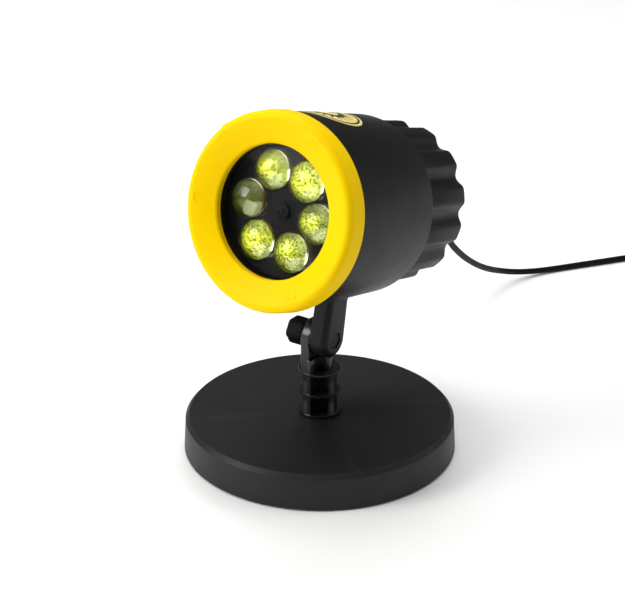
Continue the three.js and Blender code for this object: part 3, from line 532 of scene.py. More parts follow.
def painted_glow_spots():
    """Place, reach and strength of the painted glow: one spot behind each lens, with a painted hot spot in
    it.
    """
    pictures = []
    for i, (bright, hot) in enumerate(PAINTED_GLOW_LEVELS):
        x, z = polar(LENS_CIRCLE, radians(LENS_PHASE + 360 / LENS_COUNT * i))
        pictures.append(((x - 3, z), 10.5, bright))
        pictures.append(((x - 5, z - 1), 4.2, hot))
    return pictures


PAINTED_GLOW_SPOTS = painted_glow_spots()
SLIDE = slide_material()
BOARD = circuit_material()
LABEL = moulded("label", (0.80, 0.66, 0.20), (0.84, 0.71, 0.25), (0.4, 0.48), grain=500, depth=0.004)
LABEL_INK = moulded("label_ink", (0.014, 0.014, 0.013), (0.02, 0.02, 0.018), (0.4, 0.5), grain=900,
                    depth=0.004)


# ---- power lead

CORD_DIAMETER = 4.0
CORD_SIDES = 14
CORD_STEP = 2.6
COIL_CENTRE = Vector((263, 311))
COIL_RADII = (30, 26, 22, 18)  # the turns of one layer, from outside in
COIL_LAYERS = (3.4, 7.4, 11.4, 15.4)
COIL_ENTRY = -69.6  # degrees round the coil where the lead runs onto it
TURN_STEPS = 60
GLAND_BACK = span("cable_gland", OPTICS, Y)[1]

# Route of the lead in its frame, from the gland to the coil.
LEAD_ROUTE = [
    (59.6, 78.4, 116.4), (65.8, 89.6, 108.4), (70.9, 102.6, 96.4), (75.2, 116.4, 81.6),
    (80.2, 131.4, 66.8), (88.4, 150.2, 51.8), (97.2, 169.6, 38.6), (107.6, 192.0, 25.4),
    (120.0, 215.6, 13.4), (133.8, 230.6, 6.2), (148.0, 239.4, 3.2), (162.0, 245.8, 2.3),
    (182.0, 253.6, 2.2), (204.0, 261.9, 2.2), (226.0, 270.4, 2.2), (248.6, 278.8, 2.8),
]
# Route of the short end, from beside the coil round to the adapter.
TAIL_ROUTE = [
    (294.4, 328.0, 7.6), (294.4, 334.0, 8.8), (295.4, 346.0, 9.6), (302.0, 352.6, 9.6),
    (311.0, 355.0, 9.6), (320.0, 352.6, 9.6), (326.6, 346.0, 9.6), (329.0, 330.0, 13.3),
    (329.0, 323.6, 14.3), (329.0, 318.0, 14.3),
]


def eased(part):
    return part * part * (3 - 2 * part)


def coil_turns():
    """Points of the coil: each layer winds in and the next one out, a diameter apart."""
    turns = []
    for layer, height in enumerate(COIL_LAYERS):
        radii = COIL_RADII if layer % 2 == 0 else COIL_RADII[::-1]
        turns += [(radius, height) for radius in radii]
    turns.append((COIL_RADII[0] + 4.4, COIL_LAYERS[1] + 3))
    points = []
    for (radius, height), (next_radius, next_height) in zip(turns, turns[1:]):
        for k in range(TURN_STEPS):
            part = k / TURN_STEPS
            shift = eased(max(0, part - 0.72) / 0.28)
            x, y = polar(radius + (next_radius - radius) * shift, radians(COIL_ENTRY + 360 * part))
            points.append((COIL_CENTRE.x + x, COIL_CENTRE.y + y, height + (next_height - height) * shift))
    radius, height = turns[-1]
    for angle in range(-70, 21, 15):
        x, y = polar(radius, radians(angle))
        points.append((COIL_CENTRE.x + x, COIL_CENTRE.y + y, height - 2.4 * (angle + 70) / 90))
    return points


def curve_through(points, step):
    """Points every step along a smooth curve through points."""
    points = [Vector(point) for point in points]
    padded = [2 * points[0] - points[1], *points, 2 * points[-1] - points[-2]]
    dense = []
    for p0, p1, p2, p3 in zip(padded, padded[1:], padded[2:], padded[3:]):
        t0, t1 = 0.0, sqrt((p1 - p0).length)
        t2 = t1 + sqrt((p2 - p1).length)
        t3 = t2 + sqrt((p3 - p2).length)
        for k in range(12):
            t = t1 + (t2 - t1) * k / 12
            a1 = p0.lerp(p1, (t - t0) / (t1 - t0))
            a2 = p1.lerp(p2, (t - t1) / (t2 - t1))
            a3 = p2.lerp(p3, (t - t2) / (t3 - t2))
            b1 = a1.lerp(a2, (t - t0) / (t2 - t0))
            b2 = a2.lerp(a3, (t - t1) / (t3 - t1))
            dense.append(b1.lerp(b2, (t - t1) / (t2 - t1)))
    dense.append(points[-1])
    result, left = [dense[0]], step
    for a, b in zip(dense, dense[1:]):
        length = (b - a).length
        while left <= length:
            result.append(a.lerp(b, left / length))
            left += step
        left -= length
    if (result[-1] - dense[-1]).length > 0.2 * step:
        result.append(dense[-1])
    return result


def tube(path, radius, sides):
    """Round tube along points, its sections carried along without twist, narrower at its ends."""
    rings, normal = [], Vector((0, 0, 1))
    last = len(path) - 1
    for i, point in enumerate(path):
        along = (path[min(i + 1, last)] - path[max(i - 1, 0)]).normalized()
        normal = (normal - along * normal.dot(along)).normalized()
        side = along.cross(normal)
        size = radius * (0.8 if i in (0, last) else 1)
        rings.append([point + normal * size * cos(2 * pi * k / sides)
                      + side * size * sin(2 * pi * k / sides) for k in range(sides)])
    return loft(rings)


def gland_end(beyond):
    """A point on the optical axis past the gland's end, in the lead's frame."""
    return LEAD.inverted() @ (OPTICS @ Vector((0, GLAND_BACK + beyond, 0)))


cord_path = curve_through([gland_end(-3), gland_end(1), *LEAD_ROUTE, *coil_turns(), *TAIL_ROUTE],
                          CORD_STEP)
cord = piece("lead", tube(cord_path, CORD_DIAMETER / 2, CORD_SIDES), LEAD, None, JACKET,
             ("power_cord", "cord_coil", "cord_tail"), sharp=50)
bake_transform(cord)


def gland_shape():
    """Strain relief: a collar on the cap, a ribbed taper with slots between the ribs, a soft lip."""
    cap_back = span("rear_cap", OPTICS, Y)[1]
    front = cap_back - 5
    first = cap_back + 2.8
    profile = [(0, front), (5.9, front, 0.2), (5.9, cap_back + 0.3, 0.1), (7.6, cap_back + 0.3, 0.3),
               (7.6, cap_back + 2.2, 0.7), (4.6, first, 0.3)]
    ribs = 5
    pitch = (GLAND_BACK - 1.6 - first) / ribs
    for k in range(ribs):
        start = first + k * pitch
        radius = 5.2 - 0.42 * k
        profile += [(radius, start + 0.1, 0.3), (radius - 0.1, start + 0.58 * pitch, 0.3),
                    (radius - 1.1, start + 0.62 * pitch, 0.2), (radius - 1.1, start + pitch, 0.2)]
    profile += [(2.9, GLAND_BACK - 1.2, 0.4), (2.9, GLAND_BACK, 0.4), (2.05, GLAND_BACK, 0.2),
                (2.05, GLAND_BACK - 4), (0, GLAND_BACK - 4)]
    return lathe(rounded(profile, 3), MEDIUM)


gland = piece("strain_relief", gland_shape(), OPTICS, "head", RUBBER, ("cable_gland",))

coil_low, coil_high = COIL_LAYERS[0] - 2, COIL_LAYERS[-1] + 2


def tie_shape():
    """Strap round the coil's bundle, lying on its turns, with its buckle on top."""
    inner = (COIL_RADII[-1] - 2.1, COIL_RADII[0] + 2.1)
    section = rectangle(-inner[1], coil_low - 0.1, -inner[0], coil_high + 0.1, 2.4)
    band = inset(section, -0.9)
    vertices, faces = loft([[(x, u, v) for u, v in outline] for outline, x in (
        (section, -2.4), (band, -2.2), (band, 2.2), (section, 2.4))])
    count = len(section)
    faces = faces[2:]
    faces += [[i, (i + 1) % count, 3 * count + (i + 1) % count, 3 * count + i] for i in range(count)]
    buckle = prism(rectangle(-3.4, -29, 3.4, -19, 0.8), coil_high + 0.6, coil_high + 3.0, Z, 0.1, 0.7)
    tongue = prism(rectangle(-2.2, -18.5, 2.2, -10, 0.8), coil_high + 0.9, coil_high + 1.9, Z, 0.1, 0.4)
    return joined((vertices, faces), buckle, tongue)


COIL = LEAD @ Matrix.Translation((COIL_CENTRE.x, COIL_CENTRE.y, 0))
tie = piece("coil_strap", tie_shape(), COIL, "base", RUBBER, ("coil_tie",))


# ---- adapter

ADAPTER_CENTRE = (329, 280)
ADAPTER = LEAD @ Matrix.Translation((*ADAPTER_CENTRE, 0))
adapter_width = span("adapter_case", ADAPTER, X)[1]
adapter_back = span("adapter_case", ADAPTER, Y)[1]
adapter_front = span("adapter_cover", ADAPTER, Y)[0]
adapter_seam = span("adapter_cover", ADAPTER, Y)[1]
adapter_bottom, adapter_top = span("adapter_case", ADAPTER, Z)
adapter_middle = (adapter_bottom + adapter_top) / 2


def adapter_section():
    return rectangle(-adapter_width, adapter_bottom, adapter_width, adapter_top, 5)


def adapter_body():
    """The case, with a shallow blank panel on top and grip ribs at its sides."""
    body = prism(adapter_section(), adapter_seam + 0.3, adapter_back, Y, 0.5, 1.8)
    panel = prism(rectangle(-13, adapter_seam + 8, 13, adapter_back - 8, 2), adapter_top - 1,
                  adapter_top + 0.35, Z, 0.1, 0.3)
    ribs = []
    for side in (-1, 1):
        for k in range(6):
            middle = adapter_seam + 7 + 2.2 * k
            rib = prism(rectangle(middle - 0.6, adapter_middle - 6, middle + 0.6, adapter_middle + 6, 0.5),
                        adapter_width - 0.6, adapter_width + 0.5, X, 0.05, 0.3)
            ribs.append(moved(rib, Matrix.Scale(side, 4, (1, 0, 0))))
    return joined(body, panel, *ribs)


def adapter_front_half():
    """The cover that carries the pins, with a raised face between them."""
    half = prism(adapter_section(), adapter_front, adapter_seam, Y, 1.8, 0.5)
    face = prism(rectangle(-14.5, adapter_middle - 7, 14.5, adapter_middle + 7, 6.5), adapter_front - 0.25,
                 adapter_front + 2, Y, 0.2, 0.1)
    return joined(half, face)


def adapter_relief_shape():
    start = adapter_back + 0.3
    end = span("adapter_relief", ADAPTER, Y)[1]
    profile = [(0, start - 1.5), (4.6, start - 1.5), (4.6, start), (5.4, start, 0.3), (5.4, start + 2, 0.6)]
    ribs = 5
    pitch = (end - start - 3.6) / ribs
    for k in range(ribs):
        radius = 4.7 - 0.36 * k
        profile += [(radius, start + 2.4 + k * pitch, 0.3), (radius, start + 2.4 + (k + 0.55) * pitch, 0.3),
                    (radius - 0.9, start + 2.4 + (k + 0.6) * pitch, 0.2),
                    (radius - 0.9, start + 2.4 + (k + 1) * pitch, 0.2)]
    profile += [(2.8, end, 0.4), (2.05, end, 0.2), (2.05, end - 4), (0, end - 4)]
    return shifted(lathe(rounded(profile, 3), MEDIUM), z=adapter_middle)


def adapter_pin_shape():
    tip, root = span("adapter_pin_1", ADAPTER, Y)
    sleeve = lathe(rounded([(0, root - 9), (2.0, root - 9, 0.1), (2.0, root + 1), (0, root + 1)]), 36)
    pin = lathe(rounded([(0, tip), (1.9, tip, 1.0), (1.9, root - 8.8), (0, root - 8.8)]), 36)
    return sleeve, pin


def adapter_piece(name, shape, *replaces, slot="adapter_plastic", material=ADAPTER_BLACK):
    return piece(name, shape, ADAPTER, "base", material, replaces)


adapter_pieces = [
    adapter_piece("adapter_shell", adapter_body(), "adapter_case"),
    adapter_piece("adapter_face", adapter_front_half(), "adapter_cover"),
    adapter_piece("adapter_strain_relief", adapter_relief_shape(), "adapter_relief", slot="cord_jacket",
                  material=RUBBER),
]
pin_sleeve, pin_tip = adapter_pin_shape()
for number in (1, 2):
    node = f"adapter_pin_{number}"
    middle = (sum(span(node, ADAPTER, X)) / 2, 0, adapter_middle)
    adapter_pieces += [
        adapter_piece(f"pin_{number}", shifted(pin_tip, *middle), node, slot="nickel_pins", material=NICKEL),
        adapter_piece(f"pin_sleeve_{number}", shifted(pin_sleeve, *middle)),
    ]


# ---- base and stem

BOLT_HOLE = 2.8
ALONG_X = Matrix.Rotation(-pi / 2, 4, "Z")  # turns a solid's Y axis to +X

BASE_BOTTOM, BASE_TOP = span("base_shell", GROUND, Z)
BASE_RADIUS = reach("base_shell", GROUND, Z)
BASE_WALL = 2.6
COVER_SCREW_OFFSET = 58 * sqrt(0.5)
SOCKET_RADIUS = 14
PLUG_HALF = 7.5
PLUG_PLAY = 0.3
PIVOT_HEIGHT = PIVOT.z / MM


def upright(profile, segments=FINE, steps=6):
    """Solid turned about Z from (radius, height) points with optional corner radii."""
    return moved(lathe(rounded(profile, steps), segments), UPRIGHT)


def base_shape():
    underside = BASE_TOP - BASE_WALL
    top_radius = BASE_RADIUS - 1.2
    return upright([
        (0, BASE_TOP), (top_radius - 2, BASE_TOP, 0.35), (top_radius + 0.15, BASE_TOP - 2.3, 0.35),
        (BASE_RADIUS, BASE_BOTTOM, 0.5),
        (BASE_RADIUS - BASE_WALL, BASE_BOTTOM, 0.4), (top_radius - BASE_WALL, underside, 2),
        (SOCKET_RADIUS, underside, 1), (SOCKET_RADIUS, 6.6, 0.4), (0, 6.6),
    ], 256, 8)


SCREW_PLACES = [(x * COVER_SCREW_OFFSET, y * COVER_SCREW_OFFSET)
                for x, y in ((1, 1), (-1, 1), (-1, -1), (1, -1))]


def at_screws(shape):
    return [shifted(shape, x, y) for x, y in SCREW_PLACES]


def square(half, corner):
    return rectangle(-half, -half, half, half, corner)


base = mesh_object("base_housing", base_shape())
combine(base, "UNION", *at_screws(upright([(0, 4.6), (4, 4.6, 0.3), (4, 18.4), (0, 18.4)], 24)))
combine(base, "DIFFERENCE", prism(square(PLUG_HALF + PLUG_PLAY, 1), 9.2, 22, Z), upright(rod(2.4, 5, 10), 24),
        *at_screws(upright([(0, 4), (1.5, 4), (1.5, 13.5), (0, 14.2)], 16)), sharp=4)
declare(base, GROUND, "base", BASE_BLACK, ("base_shell",))

PAD_RADIUS = reach("foot_pad", GROUND, Z)
pad_profile = [(0, 2), (PAD_RADIUS, 2, 0.4), (PAD_RADIUS, 0, 0.6)]
for ridge in range(12):
    outer = PAD_RADIUS - 3 - 5 * ridge
    pad_profile += [(outer, 0, 0.2), (outer - 0.4, 0.5, 0.2), (outer - 1.6, 0.5, 0.2), (outer - 2, 0, 0.2)]
piece("foot_mat", upright([*pad_profile, (0, 0)], 128, 3), GROUND, "base", RUBBER,
      ("foot_pad",))
refined("base_cover", "bottom_cover", "base", BASE_BLACK, 0.25)


def screw_shape(head_radius, head_height, shank_radius, length):
    """Pan-head screw along Y, its head's face at zero."""
    return lathe(rounded([
        (0, 0), (0.55 * head_radius, 0.02, 0.3), (head_radius, 0.5 * head_height, 0.4 * head_height),
        (head_radius, head_height, 0.1), (shank_radius, head_height, 0.1),
        (shank_radius, length - shank_radius, 0.2), (0, length),
    ]), 40)


def cross_recess(reach_out, width, depth):
    """Cross-shaped recess for a driver, at a screw's face."""
    bar = rectangle(-reach_out, -width, reach_out, width, 0.12)
    return [prism(bar, -0.5, depth, Y, 0, 0.2), prism([(v, u) for u, v in bar], -0.5, depth, Y, 0, 0.2)]


def screw_object(name, sizes, place, body, node, recess=(1.5, 0.3, 0.9), material=None):
    made = mesh_object(name, screw_shape(*sizes))
    combine(made, "DIFFERENCE", *cross_recess(*recess))
    return declare(made, place, body, material or STEEL, (node,))


for number, (x, y) in enumerate(SCREW_PLACES, 1):
    place = GROUND @ Matrix.Translation((x, y, 2.4)) @ UPRIGHT
    screw_object(f"base_screw_{number}", (3.2, 1, 1.2, 10), place, "base", f"cover_screw_{number}")

EAR_OUTER, EAR_INNER = -6.2, -0.4
EAR_RADIUS = 10
EAR_FOOT = 46
RING_HEIGHTS = (21.3, 33.6, 46.2)
RIB_REACH, RIB_HALF = 10.8, 1.2
TEETH = 24


def toothed_ring(back, tips, valleys, phase):
    """Ring of radial teeth facing along X, for the ear (tips above the back) or the arm (below it)."""
    middle, height = (tips + valleys) / 2, (tips - valleys) / 2
    inner, outer = 4.6, EAR_RADIUS - 0.15
    rows = []
    for radius, face in ((inner, False), (outer, False), (outer, True), (inner, True)):
        row = []
        for i in range(2 * TEETH):
            level = middle + (height if i % 2 == 0 else -height) * radius / outer if face else back
            row.append((level, *polar(radius, pi * (i + phase) / TEETH)))
        rows.append(row)
    return loft(rows, closed=True)


def along_x(profile, segments=MEDIUM):
    return moved(lathe(rounded(profile), segments), ALONG_X)


def stem_shapes():
    """Three rings round a cross of ribs, a lower cross above them, and the ear."""
    rings = [upright([(0, z - 0.7), (11.7, z - 0.7, 0.4), (11.7, z + 0.7, 0.4), (0, z + 0.7)], 96)
             for z in RING_HEIGHTS]
    rib = rectangle(-RIB_REACH, -RIB_HALF, RIB_REACH, RIB_HALF, 0.4)
    cross_rib = rectangle(-RIB_HALF, -RIB_REACH, RIB_HALF, RIB_REACH, 0.4)
    cross = [prism(rib, 20.8, RING_HEIGHTS[-1], Z), prism(cross_rib, 20.8, RING_HEIGHTS[-1], Z),
             prism(rectangle(-4.2, -RIB_HALF, 7.3, RIB_HALF, 0.4), EAR_FOOT, 54.5, Z, 0.1, 0.5),
             prism(cross_rib, EAR_FOOT, 54.5, Z, 0.1, 0.5)]
    outline = [(-EAR_RADIUS, EAR_FOOT), (EAR_RADIUS, EAR_FOOT),
               *arc(0, PIVOT_HEIGHT, EAR_RADIUS, 0, 180, 32)]
    ear = prism(outline, EAR_OUTER, EAR_INNER, X, 1.2, 0.15)
    return rings + cross + [ear]


def at_pivot(shape):
    return shifted(shape, z=PIVOT_HEIGHT)


stem = mesh_object("stem", prism(square(PLUG_HALF, 0.8), 9.5, 20.9, Z))
combine(stem, "UNION", *stem_shapes())
combine(stem, "DIFFERENCE",
        at_pivot(along_x([(4.2, -0.8), (10.5, -0.8), (10.5, 1), (4.2, 1)])),
        at_pivot(along_x(rod(BOLT_HOLE, -8, 1), 36)), upright(rod(2.2, 8, 19), 24))
combine(stem, "UNION", at_pivot(toothed_ring(-1.6, 0.0, -0.8, 0.0)))
declare(stem, GROUND, "base", STEM_BLACK, ("stem_post",))


# ---- clamp

KNOB_OUTER, KNOB_INNER = span("clamp_knob", CLAMP, X)
NUT_ACROSS_FLATS = 8.6


def knob_object():
    """Six-lobed knob with a dished end, and a pocket for its brass nut."""
    turns = [2 * pi * i / 120 for i in range(120)]
    outline = [polar(7.35 + 0.35 * cos(6 * turn), turn) for turn in turns]
    made = mesh_object("clamp_wing_knob", prism(outline, KNOB_OUTER, KNOB_INNER, X, 1.5, 0.5, 6))
    dish = along_x([(0, KNOB_OUTER - 1), (4.4, KNOB_OUTER - 1), (4.4, KNOB_OUTER + 0.1, 0.3),
                    (3.9, KNOB_OUTER + 0.6, 0.5), (0, KNOB_OUTER + 0.6)])
    combine(made, "DIFFERENCE", dish, prism(regular(6, NUT_ACROSS_FLATS), -14.1, -7, X, 0, 0),
            along_x(rod(BOLT_HOLE, -16.2, -7), 36))
    return declare(made, CLAMP, "knob", KNOB_BLACK, ("clamp_knob",))


def bolt_object():
    """Hexagon-head bolt, its head's corners chamfered."""
    made = mesh_object("tilt_bolt", prism(regular(6, 8), 6.1, 9.6, X, 0.1, 0.2))
    combine(made, "INTERSECT", along_x([(0, 5), (4.9, 5), (4.9, 8.9), (4.1, 9.75), (0, 9.75)]))
    combine(made, "UNION", along_x([(0, -15.5), (2.0, -15.5), (2.4, -15, 0.1), (2.4, 6.5), (0, 6.5)], 48))
    return declare(made, HEAD, "head", DARK_STEEL, ("clamp_bolt",))


knob_object()
bolt_object()
piece("spring_washer", along_x([(BOLT_HOLE, -7.5, 0.1), (5.2, -7.5, 0.2), (5.2, -6.5, 0.2),
                                (BOLT_HOLE, -6.5, 0.1)]),
      CLAMP, "base", STEEL, ("clamp_washer",))


# ---- barrel and arm

BARREL_FRONT, BARREL_REAR = 11.7, span("barrel_shell", OPTICS, Y)[1]
BARREL_FRONT_RADIUS, BARREL_REAR_RADIUS = 50.3, 48
NECK_RADIUS, NECK_FRONT = 47.6, 8.8
HEAD_TO_OPTICS = OPTICS.inverted() @ HEAD
AXIS_X, FRONT_Y, AXIS_Z = HEAD.inverted() @ OPTICS.translation
ARM_INNER, ARM_OUTER = 0.1, 10.2
POST_FRONT, POST_REAR = 62, 75.9
CAP_SCREW_CIRCLE = 36.6
CAP_SCREW_START = 45
LOCK_ANGLES = (90, 210, 330)  # of the bezel's bayonet lugs


def barrel_radius(station):
    part = (station - BARREL_FRONT) / (BARREL_REAR - BARREL_FRONT)
    return BARREL_FRONT_RADIUS + part * (BARREL_REAR_RADIUS - BARREL_FRONT_RADIUS)


def wedge(inner, outer, front, back, start, end, edge=0.0):
    """Part of a ring about Y between two angles in degrees, from +X towards +Z."""
    steps = max(3, ceil((end - start) / 1.5))
    outline = arc(0, 0, outer, start, end, steps) + arc(0, 0, inner, end, start, steps)
    return prism(outline, front, back, Y, edge, edge, 3)


def barrel_profile():
    return rounded([
        (NECK_RADIUS, NECK_FRONT, 0.3), (NECK_RADIUS, BARREL_FRONT, 0.1),
        (BARREL_FRONT_RADIUS, BARREL_FRONT, 0.7), (BARREL_REAR_RADIUS, BARREL_REAR, 0.8),
        (45.2, BARREL_REAR, 0.2), (45.2, POST_FRONT, 0.2), (47.5, 16.1, 0.2), (38.5, 16.1, 0.2),
        (38.5, 13.7, 0.2), (43.4, 13.7, 0.2), (43.4, NECK_FRONT, 0.2), (NECK_RADIUS, NECK_FRONT, 0.3),
    ])[:-1]


def arm_shape():
    """The arm's bar: round below, rounded on its outer side, flat where it meets the ear."""
    top = AXIS_Z - BARREL_REAR_RADIUS + 2.5
    outline = [(8.2, top), *arc(0, 0, 10, 0, -180, 40), (-9.6, top)]
    return prism(outline, ARM_INNER, ARM_OUTER, X, 0.2, 3.4, 8)


def arm_fillet():
    """Flare under the barrel that joins the arm to it in a soft curve."""
    radius, rings = 4.2, []
    for k in range(10):
        turn = pi / 2 * k / 9
        grow = radius * (1 - cos(turn)) - 0.05
        ring = []
        for x, y in inset(rectangle(ARM_INNER, -9.7, ARM_OUTER, 8.5, 3.2), -grow):
            under = AXIS_Z - sqrt(barrel_radius(y - FRONT_Y) ** 2 - (x - AXIS_X) ** 2)
            ring.append((x, y, under - radius + radius * sin(turn) + 0.15))
        rings.append(ring)
    rings.append([(x, y, z + 1.6) for x, y, z in rings[-1]])
    return loft(rings)


def to_optics(shape):
    """A shape of the head's frame in the optics' frame."""
    return moved(shape, HEAD_TO_OPTICS)


def at_cap_screws(profile, segments):
    """A turned shape at each of the four screws that hold the cap."""
    return around(shifted(lathe(profile, segments), CAP_SCREW_CIRCLE), 4, CAP_SCREW_START)


def barrel_object():
    made = mesh_object("barrel", lathe(barrel_profile()))
    rib = prism(rectangle(CAP_SCREW_CIRCLE, -2, 46.6, 2, 0.2), POST_FRONT, POST_REAR, Y)
    combine(made, "UNION", *at_cap_screws(rod(4, POST_FRONT, POST_REAR), 24),
            *around(rib, 4, CAP_SCREW_START), to_optics(arm_shape()), to_optics(arm_fillet()))
    clamp_cuts = [along_x(rod(BOLT_HOLE, -1, 12), 36), prism(regular(6, NUT_ACROSS_FLATS), 5.8, 12, X, 0, 0),
                  along_x([(4.2, 0.5), (11, 0.5), (11, -2), (4.2, -2)])]
    combine(made, "DIFFERENCE", *at_cap_screws(rod(1.3, POST_FRONT - 1, 77), 16),
            *(to_optics(shape) for shape in clamp_cuts))
    combine(made, "UNION", to_optics(toothed_ring(1.6, -0.3, 0.5, 1.0)))
    for middle in LOCK_ANGLES:
        combine(made, "DIFFERENCE",
                wedge(46.4, 49.0, 9.6, BARREL_FRONT - 0.02, middle - 7.5, middle + 37.5),
                wedge(46.4, 49.0, 7.8, BARREL_FRONT - 0.02, middle + 22.5, middle + 37.5))
    combine(made, "DIFFERENCE", on_barrel(circle(BADGE_RADIUS + 0.3), -0.6, 1.5))
    return declare(made, OPTICS, "head", BLACK, ("barrel_shell",))


# ---- badge

BADGE_RADIUS = 18
BADGE_STATION = 44


def circle(radius, steps=96):
    return arc(0, 0, radius, 0, 360 - 360 / steps, steps - 1)


def on_barrel(outline, low, high, inner=0.0, steps=12):
    """Slab of an outline laid on top of the barrel, between two distances from its surface."""
    scales = [inner + (1 - inner) * k / steps for k in range(steps + 1)]
    scales[0] = max(scales[0], 0.01)
    rings = []
    for distance, order in ((low, scales), (high, scales[::-1])):
        for scale in order:
            ring = []
            for u, v in outline:
                station = BADGE_STATION + v * scale
                radius = barrel_radius(station) + distance
                ring.append((u * scale, station, sqrt(radius ** 2 - (u * scale) ** 2)))
            rings.append(ring)
    return loft(rings, closed=inner > 0)


def starburst(points, outer, inner):
    """Plain pointed star outline."""
    return [polar(inner if i % 2 else outer, pi * i / points) for i in range(2 * points)]


barrel_object()
for name, shape, material, replaced in (
        ("badge_disc", on_barrel(circle(BADGE_RADIUS), -0.5, 0.15), LABEL, ("badge_plate",)),
        ("badge_rim", on_barrel(circle(16.6), 0.1, 0.22, inner=0.93, steps=2), LABEL_INK, ()),
        ("badge_star", on_barrel(starburst(16, 13.4, 7.6), 0.1, 0.22), LABEL_INK, ()),
        ("badge_centre", on_barrel(circle(5.2), 0.2, 0.28), LABEL, ())):
    piece(name, shape, OPTICS, "head", material, replaced)


# ---- bezel

FACE_SLOPE = atan2(1.88, 6.09)  # of the bezel's face outside its crease


def bezel_object():
    profile = rounded([
        (34.2, 8.4), (34.2, 5.5, 0.3), (34.9, 4.7, 0.5), (41.5, 1.9, 0.7),
        *arc(47.2, 3.3, 3.3, 255, 354, 16), (51.2, 11.35, 0.3), (48.5, 11.35, 0.2), (48.5, 5.4, 0.8),
        (46.6, 2.8, 0.6), (36.4, 7.2, 0.4), (36.4, 8.4, 0.1),
    ])
    made = mesh_object("bezel", lathe(profile, 256))
    lugs = [wedge(46.9, 49.2, 9.9, 11, middle - 6, middle + 6, 0.1) for middle in LOCK_ANGLES]
    tab = wedge(49.9, 51.7, 4.2, 11.35, 131, 135, 0.25)
    combine(made, "UNION", tab, *lugs)
    groove = lathe([(2.45, -2), (2.7, -2), (2.7, 0.06), (2.45, 0.06)], 48)
    lean = Matrix.Rotation(-FACE_SLOPE, 4, "Z")
    mark = moved(groove, Matrix.Translation((43.2, 1.38, 0)) @ lean)
    combine(made, "DIFFERENCE", *(around(mark, 1, turn)[0] for turn in (61, 181, 300)))
    return declare(made, OPTICS, "bezel", YELLOW, ("bezel_ring",))


bezel_object()


# ---- window, tube, wheel, lenses and slide

def turned_piece(name, profile, body, material, node, segments=FINE):
    return piece(name, lathe(rounded(profile), segments), OPTICS, body, material, (node,))


turned_piece("window", [(0, 8.7), (43, 8.7, 0.3), (43, 9.8, 0.3), (0, 9.8)], "head", WINDOW,
             "front_window")
turned_piece("gasket", [(38.5, 10.1, 0.4), (43, 10.1, 0.4), (43, 11.6, 0.4), (38.5, 11.6, 0.4), (38.5, 10.6)],
             "head", RUBBER, "window_gasket")
turned_piece("optics_tube", [
    (36.4, 11.9, 0.3), (43, 11.9, 0.3), (43, 13.4, 0.2), (37.6, 13.4, 0.2), (37.6, 60, 0.2), (35.6, 60, 0.2),
    (35.6, 45.6, 0.1), (32.6, 45.6, 0.2), (32.6, 44, 0.2), (35.6, 44, 0.1), (35.6, 22.8, 0.1),
    (32.6, 22.8, 0.2), (32.6, 21.1, 0.2), (35.6, 21.1, 0.1), (35.6, 12.7, 0.2),
], "head", WHEEL_BLACK, "lens_tube")
turned_piece("slide_ring", [
    (33.2, 18.4, 0.2), (35.3, 18.4, 0.2), (35.3, 19.3, 0.1), (33.2, 19.3, 0.1), (33.2, 18.9),
], "head", DARK_STEEL, "slide_clamp_ring")
turned_piece("slide", [
    (5, SLIDE_FRONT, 0.1), (35, SLIDE_FRONT, 0.1), (35, SLIDE_BACK, 0.1), (5, SLIDE_BACK, 0.1), (5, 20.2),
], "head", SLIDE, "slide_disc")


def at_lenses(shape):
    return around(shifted(shape, LENS_CIRCLE), LENS_COUNT, LENS_PHASE)


def wheel_object():
    """Wheel with a raised hub, a thin rim bead, and a lip in front and a collar behind each lens."""
    made = mesh_object("wheel", lathe(rounded([
        (0, 13.6), (4.6, 13.6, 0.5), (4.6, 15.2, 0.3), (33.2, 15.2, 0.2), (33.4, 14.9, 0.1),
        (34.3, 14.9, 0.2), (34.3, 17, 0.2), (4.6, 17, 0.2), (4.6, 19, 0.2), (0, 19),
    ])))
    collar = lathe(rounded([(0, 16.5), (11.2, 16.5), (11.2, 18, 0.3), (0, 18)]), 96)
    lip = lathe(rounded([(0, 14.7, 0.2), (11.1, 14.7, 0.3), (11.1, 15.6), (0, 15.6)]), 96)
    combine(made, "UNION", *at_lenses(collar), *at_lenses(lip))
    combine(made, "DIFFERENCE", *at_lenses(lathe(rod(10.4, 13, 19), 96)), lathe(rod(1.4, 13, 20), 24))
    return declare(made, OPTICS, "wheel", WHEEL_BLACK, ("lens_wheel",))


def lens_shape():
    """Thick plano-convex lens: a dome in front, a polished edge, a small chamfer at the back."""
    front, rise, back = 10.1, 4.0, 17.3
    ball = (LENS_RADIUS ** 2 + rise ** 2) / (2 * rise)
    half = degrees(asin((LENS_RADIUS - 0.25) / ball))
    profile = [*arc(0, front + ball, ball, -90, -90 + half, 14), (LENS_RADIUS, front + rise + 0.2),
               (LENS_RADIUS, back - 0.3), (LENS_RADIUS - 0.3, back), (0, back)]
    profile[0] = (0, front)
    return lathe(profile, 96)


wheel_object()
for number, shape in enumerate(at_lenses(lens_shape()), 1):
    piece(f"lens_{number}", shape, OPTICS, "wheel", LENS, (f"wheel_lens_{number}",),
          sharp=40)
screw_object("hub_screw", (2.4, 0.7, 1.1, 4.4), OPTICS @ Matrix.Translation((0, 12.6, 0)), "wheel",
             "wheel_screw", (1.4, 0.28, 0.45), DARK_STEEL)


# ---- rear cap

CAP_FRONT, CAP_REAR = BARREL_REAR + 0.3, 126.9
CAP_LOBES = 13
CAP_PHASE = 15
CAP_LOBE_WIDTH = 12
CAP_SCALLOP = 3.4
CAP_EDGE = 4
CAP_WALL = 2.4


